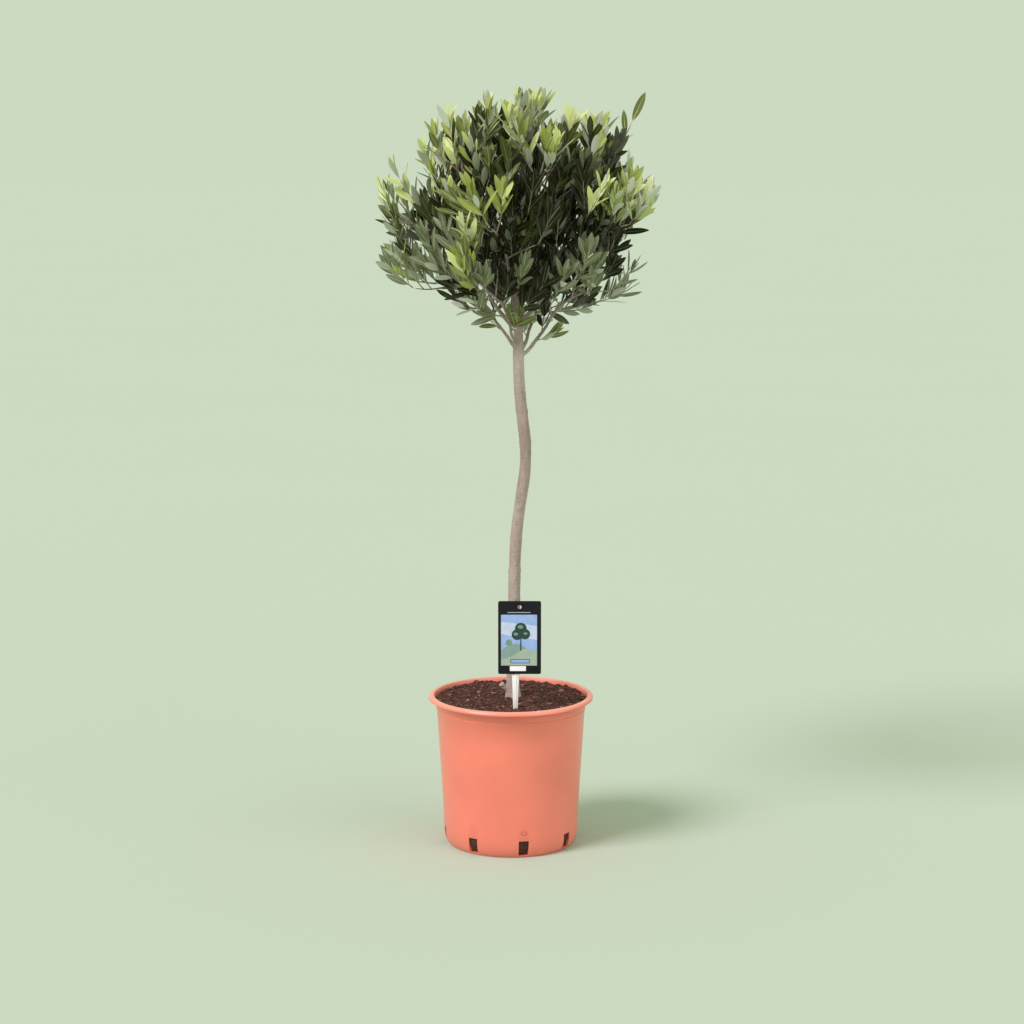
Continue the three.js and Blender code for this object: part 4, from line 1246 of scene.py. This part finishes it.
class Growth:
    """Grows shoots and leaves on the source's twigs."""

    def __init__(self, settings):
        self.s = settings
        self.masses = lay_out_crown()
        self.spaces = Spaces(self.masses)
        self.chance = random.Random(GROWTH_SEED)
        self.deal = random.Random(TONE_SEED)
        self.mass = None
        self.wood = []
        self.shoots = []
        self.leaves = {"top": [], "shoulder": [], "side": [], "low": []}

    def grow(self):
        for owner, mass in enumerate(self.masses):
            self.mass = mass
            for start, direction, reach in twigs_of(mass, owner, self.spaces):
                self.grow_twig(start, direction, reach)
            self.grow_along_bough(Path(bend_through(mass.bough, 10)), owner)
            stem = Path(bend_through(mass.stem, 10))
            for share, end in EXTRA_TWIGS.get(mass.name, ()):
                way = end - stem.at(share)
                self.grow_twig(stem.at(share), way.normalized(), way.length)
            self.grow_stem_end(stem, owner)
            if mass.name == LONE_MASS:
                self.grow_lone_shoot(stem.at(LONE_SHARE))

    def wobble(self, size):
        return Vector([self.chance.gauss(0, size) for _ in range(3)])

    def grow_along_bough(self, bough, owner):
        """Short shoots on the bough's outer half, and on the leader near its tip alone."""
        for i, share in enumerate(BOUGH_SHOOTS):
            if self.mass.name != "top" or i > 1:
                out = splayed(bough.direction(share), 58, GOLDEN_ANGLE * i + 90 * owner)
                self.grow_shoot(bough.at(share), out, self.s.shoot_length * 0.6)

    def grow_stem_end(self, stem, owner):
        """The shoots at the stem's end, and the stem itself as far as the last of them."""
        leafy_to = BARE_STEM
        for i, share in enumerate(STEM_SHOOTS):
            out = splayed(stem.direction(share), 10 if share > 0.95 else 40, GOLDEN_ANGLE * i + 40 * owner)
            if self.grow_shoot(stem.at(share), out, self.s.shoot_length * self.chance.uniform(0.5, 0.8)):
                leafy_to = share
        inside = stem.points[0] - stem.direction(0) * 3 * MM
        line = [inside] + [stem.at(leafy_to * i / 10) for i in range(1, 11)]
        self.wood.append((Path(line), STEM_RADII, 7, 12))

    def grow_twig(self, start, direction, reach):
        """A twig, the side shoots along it and the shoot at its tip. It ends at its last shoot."""
        end = start + direction * reach
        middle = start.lerp(end, 0.55) - UP * reach * 0.06 + self.wobble(reach * 0.06)
        twig = Path(bend_through([start, middle, end], 8))
        leafy_to = 0.0
        count = max(1, round(reach / self.s.shoot_spacing))
        for i in range(count):
            share = 0.2 + 0.7 * (i + 0.5 * self.chance.random()) / count
            turn = GOLDEN_ANGLE * i + self.chance.uniform(0, 90)
            out = splayed(twig.direction(share), self.chance.uniform(36, 54), turn)
            if self.grow_shoot(twig.at(share), out, self.s.shoot_length * self.chance.uniform(0.5, 1)):
                leafy_to = share
        if self.grow_shoot(end, twig.direction(1), self.s.shoot_length * self.chance.uniform(0.4, 0.8)):
            leafy_to = 1.0
        if leafy_to > 0.15:
            self.wood.append((Path([twig.at(leafy_to * i / 6) for i in range(7)]), TWIG_RADII, 6, 6))

    def grow_shoot(self, start, direction, reach):
        """A young shoot that turns up to the light, with leaves in opposite pairs. Says if any grew."""
        out = (start - CROWN_HEART).normalized()
        direction = (direction * 0.6 + UP * (0.5 + 0.9 * self.mass.lift) + out * 0.35).normalized()
        if not self.is_leafy(start + direction * reach):
            return False
        room = self.s.leaf_length * 0.75
        limit = 1.10 - 0.42 * self.chance.random() ** 1.1
        while reach > SHORTEST_SHOOT and crown_reach(start + direction * (reach + room)) > limit:
            reach -= SHOOT_STEP
        if crown_reach(start + direction * (reach + room)) > limit + 0.02:
            return False
        end = start + direction * reach + UP * reach * 0.14
        path = Path(bend_through([start, start.lerp(end, 0.5) - UP * reach * 0.07, end], 5))
        tone = self.tone_at(start.lerp(end, 0.7))
        pairs = max(2, round(reach / self.s.pair_spacing))
        grown = 0
        first = self.chance.uniform(0, 360)
        for i in range(pairs):
            share = (i + 0.7) / (pairs + 0.3)
            size = self.s.leaf_length * self.chance.uniform(0.74, 1.08) * (1 - 0.12 * share)
            for turn in (first + 90 * i, first + 90 * i + 180):
                spread = 46 - 20 * share + self.chance.gauss(0, 7)
                grown += self.grow_leaf(path, share, spread, turn + self.chance.gauss(0, 12), size, tone)
        for turn in (first + 90 * pairs, first + 90 * pairs + 180):
            size = self.s.leaf_length * self.chance.uniform(0.55, 0.8)
            grown += self.grow_leaf(path, 0.99, self.chance.uniform(6, 18), turn, size, tone)
        if grown:
            self.shoots.append((path, SHOOT_RADII, 5, 5))
        return grown > 0

    def is_leafy(self, point):
        """Leaves out the shoots that would close the crown's gaps, more of them low down."""
        cloud = noise.noise(point * GAP_SCALE + GAP_SHIFT)
        low = max(0.0, (0.80 - point.z) / 0.1)
        skin = max(0.0, crown_depth(point) - 0.78) / 0.22 * max(0.0, min(1.0, (point.z - 0.86) / 0.05))
        return cloud > GAP_LEVEL + GAP_LOW * low + GAP_SKIN * skin + self.chance.uniform(-0.06, 0.06)

    def tone_at(self, point):
        """The tone of a spray by the light it would get: fresh with painted light on the outer, upper and
        left ones, dark with painted shade inside, and dull low down.
        """
        rise = (point.z - 0.70) / 0.28
        fill = min(crown_depth(point), 1.1)
        side = (point.x - CROWN_CENTRE.x) / CROWN_RADIUS
        front = (CROWN_CENTRE.y - point.y) / CROWN_RADIUS
        light = 0.36 * rise + 1.10 * fill - 0.11 * side + 0.04 * front - 0.18
        light += self.deal.gauss(0, 0.13)
        if light > LEAST_LIGHT["fresh_lit"] and rise > 0.34 + 0.15 * max(side, 0):
            name = "fresh_lit"
        elif light > LEAST_LIGHT["bright"] and rise > 0.22:
            name = "bright"
        elif light > LEAST_LIGHT["grey"] and rise < GREY_RISE:
            name = "grey" if self.deal.random() < GREY_SHARE else "mid"
        elif light > LEAST_LIGHT["mid"]:
            name = "mid"
        else:
            name = "deep" if light > LEAST_LIGHT["deep"] else "dark"
        return TONES.index(name)

    def grow_leaf(self, path, share, spread, turn, size, tone):
        """A leaf on a shoot, if it stays in the crown and clear of the limbs. Says if it grew."""
        root, axis = path.at(share), path.direction(share)
        along = (splayed(axis, spread, turn) + UP * 0.3).normalized()
        tip = root + along * size
        if crown_reach(tip) > LEAF_REACH or not in_box(tip):
            return False
        if not self.spaces.clear_of_limbs(root.lerp(tip, 0.6), 0):
            return False
        inward = axis - along * axis.dot(along)
        light = (root - CROWN_HEART).normalized() * 0.9 + UP * 0.35 + Vector((-0.15, -0.2, 0))
        self.add_leaf(root, along, inward.normalized() * 0.25 + light + self.wobble(0.4), size, tone)
        return True

    def add_leaf(self, root, along, face, size, tone):
        """Adds a leaf, a little other in width, curl and twist, and now and then a tone on."""
        across = along.cross(face)
        across = across.normalized() if across.length > 1e-6 else along.orthogonal().normalized()
        width = self.s.leaf_width * (size / self.s.leaf_length) ** 0.6 * self.chance.uniform(0.88, 1.1)
        curl = self.chance.uniform(-0.03, 0.15)
        twist = self.chance.gauss(0, 0.3)
        if TONES[tone] in ("fresh_lit", "bright", "deep") and self.deal.random() < 0.3:
            tone = min(TONES.index("deep"), max(0, tone + self.deal.choice((-1, 1))))
        self.leaves[self.mass.ring].append(Leaf(root, along, across, size, width, curl, twist, tone))

    def grow_lone_shoot(self, start):
        """The shoot that stands out of the crown, with a leaf at its tip and one lower down."""
        middle = start.lerp(LONE_TIP, 0.5) + Vector((2, 0, -3)) * MM
        path = Path(bend_through([start, middle, LONE_TIP], 6))
        self.shoots.append((path, tuple(r * 1.4 for r in SHOOT_RADII), 5, 10))
        for share, tip in LONE_LEAVES:
            way = tip - path.at(share)
            self.add_leaf(path.at(share), way.normalized(), LONE_FACE, way.length, TONES.index("mid"))


def joined_tubes(name, tubes):
    """One mesh of closed tapering tubes that end in a point."""
    corners, faces = [], []
    for path, radii, sides, steps in tubes:
        base = len(corners)
        for i, (place, turn) in enumerate(path.frames(steps)):
            if i == steps:
                corners.append(place)
                break
            radius = taper(radii, i / steps)
            corners += [place + turn @ (radius * p.to_3d()) for p in round_points(sides)]
        faces.append([base + k for k in reversed(range(sides))])
        for i in range(steps - 1):
            for k in range(sides):
                a, b = base + i * sides + k, base + i * sides + (k + 1) % sides
                faces.append([a, b, b + sides, a + sides])
        last = base + (steps - 1) * sides
        faces += [[last + k, last + (k + 1) % sides, base + steps * sides] for k in range(sides)]
    mesh = bpy.data.meshes.new(name)
    mesh.from_pydata(corners, [], faces)
    return mesh


def leaf_faces():
    """The faces of one leaf: its blade's upper side, its rib and its underside.

    Each station has a left and right corner, the two sides of the rib, and a lower corner.
    """
    upper, rib, lower = [], [], []
    stations = len(LEAF_STATIONS)
    root, tip = 0, 5 * stations + 1
    left, right, near, far, keel = ([1 + 5 * k + j for k in range(stations)] for j in range(5))
    upper += [[root, near[0], left[0]], [root, right[0], far[0]]]
    rib.append([root, far[0], near[0]])
    lower += [[root, left[0], keel[0]], [root, keel[0], right[0]]]
    for k in range(stations - 1):
        n = k + 1
        upper += [[left[k], near[k], near[n], left[n]], [far[k], right[k], right[n], far[n]]]
        rib.append([near[k], far[k], far[n], near[n]])
        lower += [[left[k], left[n], keel[n], keel[k]], [keel[k], keel[n], right[n], right[k]]]
    upper += [[left[-1], near[-1], tip], [far[-1], right[-1], tip]]
    rib.append([near[-1], far[-1], tip])
    lower += [[left[-1], tip, keel[-1]], [keel[-1], tip, right[-1]]]
    return upper, rib, lower


def joined_leaves(name, leaves, thickness):
    """One mesh of closed thin leaves, folded along the rib, twisted, and curled at the tip."""
    corners, faces, tones = [], [], []
    upper, rib, lower = leaf_faces()
    # The leaves of painted shade take the shaded rib and underside
    rib_slots = [len(TONES) + (tone in SHADED) for tone in TONES]
    under_slots = [slot + 2 for slot in rib_slots]
    for leaf in leaves:
        base = len(corners)
        corners.append(leaf.root)
        for share, breadth in LEAF_STATIONS:
            twist = Matrix.Rotation(leaf.twist * share, 3, leaf.along)
            across = twist @ leaf.across
            face = across.cross(leaf.along)
            bend = face * leaf.length * leaf.curl * share ** 2
            middle = leaf.root + leaf.along * leaf.length * share - bend
            half = leaf.width / 2 * breadth
            line = across * RIB_WIDTH / 2 * (1.1 - share)
            corners += [middle - across * half + face * half * LEAF_FOLD,
                        middle + across * half + face * half * LEAF_FOLD,
                        middle - line + face * RIB_RISE, middle + line + face * RIB_RISE,
                        middle - face * thickness]
        face = (Matrix.Rotation(leaf.twist, 3, leaf.along) @ leaf.across).cross(leaf.along)
        corners.append(leaf.root + leaf.along * leaf.length - face * leaf.length * leaf.curl)
        faces += [[base + k for k in f] for f in upper + rib + lower]
        tones += [leaf.tone] * len(upper) + [rib_slots[leaf.tone]] * len(rib)
        tones += [under_slots[leaf.tone]] * len(lower)
    mesh = bpy.data.meshes.new(name)
    mesh.from_pydata(corners, [], faces)
    mesh.polygons.foreach_set("material_index", tones)
    shade_smooth(mesh, 75)
    return mesh


class OLIVETREE_OT_foliage(bpy.types.Operator):
    """Grow the twigs, shoots and leaves on from the boughs."""
    bl_idname = "olivetree.foliage"
    bl_label = "Twigs and leaves"

    def execute(self, context):
        s = context.scene.olive_foliage
        growth = Growth(s)
        growth.grow()
        wood = (("twigs_bark", growth.wood, s.twig), ("shoots_young", growth.shoots, s.shoot))
        for name, tubes, tint in wood:
            mesh = joined_tubes(name, tubes)
            shade_smooth(mesh, 180)
            settle(new_piece(name, mesh, [twig_skin(f"{name}_skin", tint)]), "bark")
        # Lit and shaded leaf skins: the tones of painted shade also get less gloss
        skins = [leaf_skin(f"leaf_{tone}", getattr(s, tone), 0.42, 0.2 if tone in SHADED else 0.4)
                 for tone in TONES]
        for name, roughness in (("rib", 0.5), ("rib_shaded", 0.5), ("under", 0.62), ("under_shaded", 0.62)):
            skins.append(leaf_skin(f"leaf_{name}", getattr(s, name), roughness))
        for ring, leaves in growth.leaves.items():
            mesh = joined_leaves(f"leaves_{ring}", leaves, s.leaf_thickness)
            nodes = [f"foliage_{m.name}" for m in growth.masses if m.ring == ring]
            settle(new_piece(f"leaves_{ring}", mesh, skins), "foliage", *nodes)
        return {"FINISHED"}


# Stage

class OLIVETREE_OT_stage(bpy.types.Operator):
    """Set the plain floor, the soft light and the camera."""
    bl_idname = "olivetree.stage"
    bl_label = "Stage"

    def execute(self, context):
        s = context.scene.olive_stage
        scene = context.scene
        scene.view_settings.view_transform = "Standard"
        self.make_floor(s)
        world = bpy.data.worlds.new("surround")
        world.use_nodes = True
        background = world.node_tree.nodes["Background"]
        background.inputs["Color"].default_value = (*s.backdrop, 1)
        background.inputs["Strength"].default_value = s.surround
        scene.world = world
        self.place_sun("key", s.key, s.key_tint, 24, Vector((-0.82, -0.64, 0.98)))
        self.place_sun("fill", s.fill, s.key_tint, 60, Vector((1.0, -0.7, 0.45)))
        lens = bpy.data.cameras.new("camera")
        lens.lens = s.lens
        lens.sensor_width = 36
        camera = bpy.data.objects.new("camera", lens)
        camera.location = s.camera_place
        camera.rotation_euler = (math.pi / 2 - s.camera_pitch, 0, 0)
        scene.collection.objects.link(camera)
        scene.camera = camera
        return {"FINISHED"}

    def make_floor(self, s):
        bm = bmesh.new()
        bmesh.ops.create_circle(bm, cap_ends=True, segments=64, radius=60,
                                matrix=Matrix.Translation((0, 0, -0.2 * MM)))
        finish = Finish("floor_plain", s.floor_shade, 0.95, Specular_IOR_Level=0.0)
        finish.paint(finish.mottle(finish.noise(0.8, 2), s.floor_shade, 0.997, 1.003, 0.3))
        floor = new_piece("floor", bm, [finish.material])

    def place_sun(self, name, strength, tint, softness, place):
        light = bpy.data.lights.new(name, "SUN")
        light.energy = strength
        light.color = tint
        light.angle = math.radians(softness)
        lamp = bpy.data.objects.new(name, light)
        lamp.location = place
        lamp.rotation_euler = place.to_track_quat("Z", "Y").to_euler()
        bpy.context.scene.collection.objects.link(lamp)


# Panel

class OLIVETREE_PT_panel(bpy.types.Panel):
    """Lists the steps that make the tree."""
    bl_idname = "OLIVETREE_PT_panel"
    bl_label = "Olive Tree"
    bl_space_type = "VIEW_3D"
    bl_region_type = "UI"
    bl_category = "Olive Tree"

    def draw(self, context):
        for group, operators in STEPS:
            box = self.layout.box()
            for operator in operators:
                box.operator(operator.bl_idname)
            settings = getattr(context.scene, group)
            for name in settings.bl_rna.properties.keys():
                if name not in ("rna_type", "name"):
                    box.prop(settings, name)


SETTINGS = {"olive_stage": StageSettings, "olive_pot": PotSettings, "olive_soil": SoilSettings,
            "olive_label": LabelSettings, "olive_limbs": LimbSettings, "olive_foliage": FoliageSettings}
STEPS = (
    ("olive_stage", (OLIVETREE_OT_stage,)),
    ("olive_pot", (OLIVETREE_OT_pot,)),
    ("olive_soil", (OLIVETREE_OT_soil,)),
    ("olive_label", (OLIVETREE_OT_label,)),
    ("olive_limbs", (OLIVETREE_OT_limbs,)),
    ("olive_foliage", (OLIVETREE_OT_foliage,)),
)


def classes():
    return [*SETTINGS.values(), *(o for _, operators in STEPS for o in operators), OLIVETREE_PT_panel]


def register():
    for cls in classes():
        bpy.utils.register_class(cls)
    for name, group in SETTINGS.items():
        setattr(bpy.types.Scene, name, PointerProperty(type=group))


def unregister():
    for name in SETTINGS:
        delattr(bpy.types.Scene, name)
    for cls in reversed(classes()):
        bpy.utils.unregister_class(cls)


def main():
    """Registers the add-on and makes every piece."""
    register()
    for _, operators in STEPS:
        for operator in operators:
            group, name = operator.bl_idname.split(".")
            getattr(getattr(bpy.ops, group), name)()


if __name__ == "__main__":
    main()
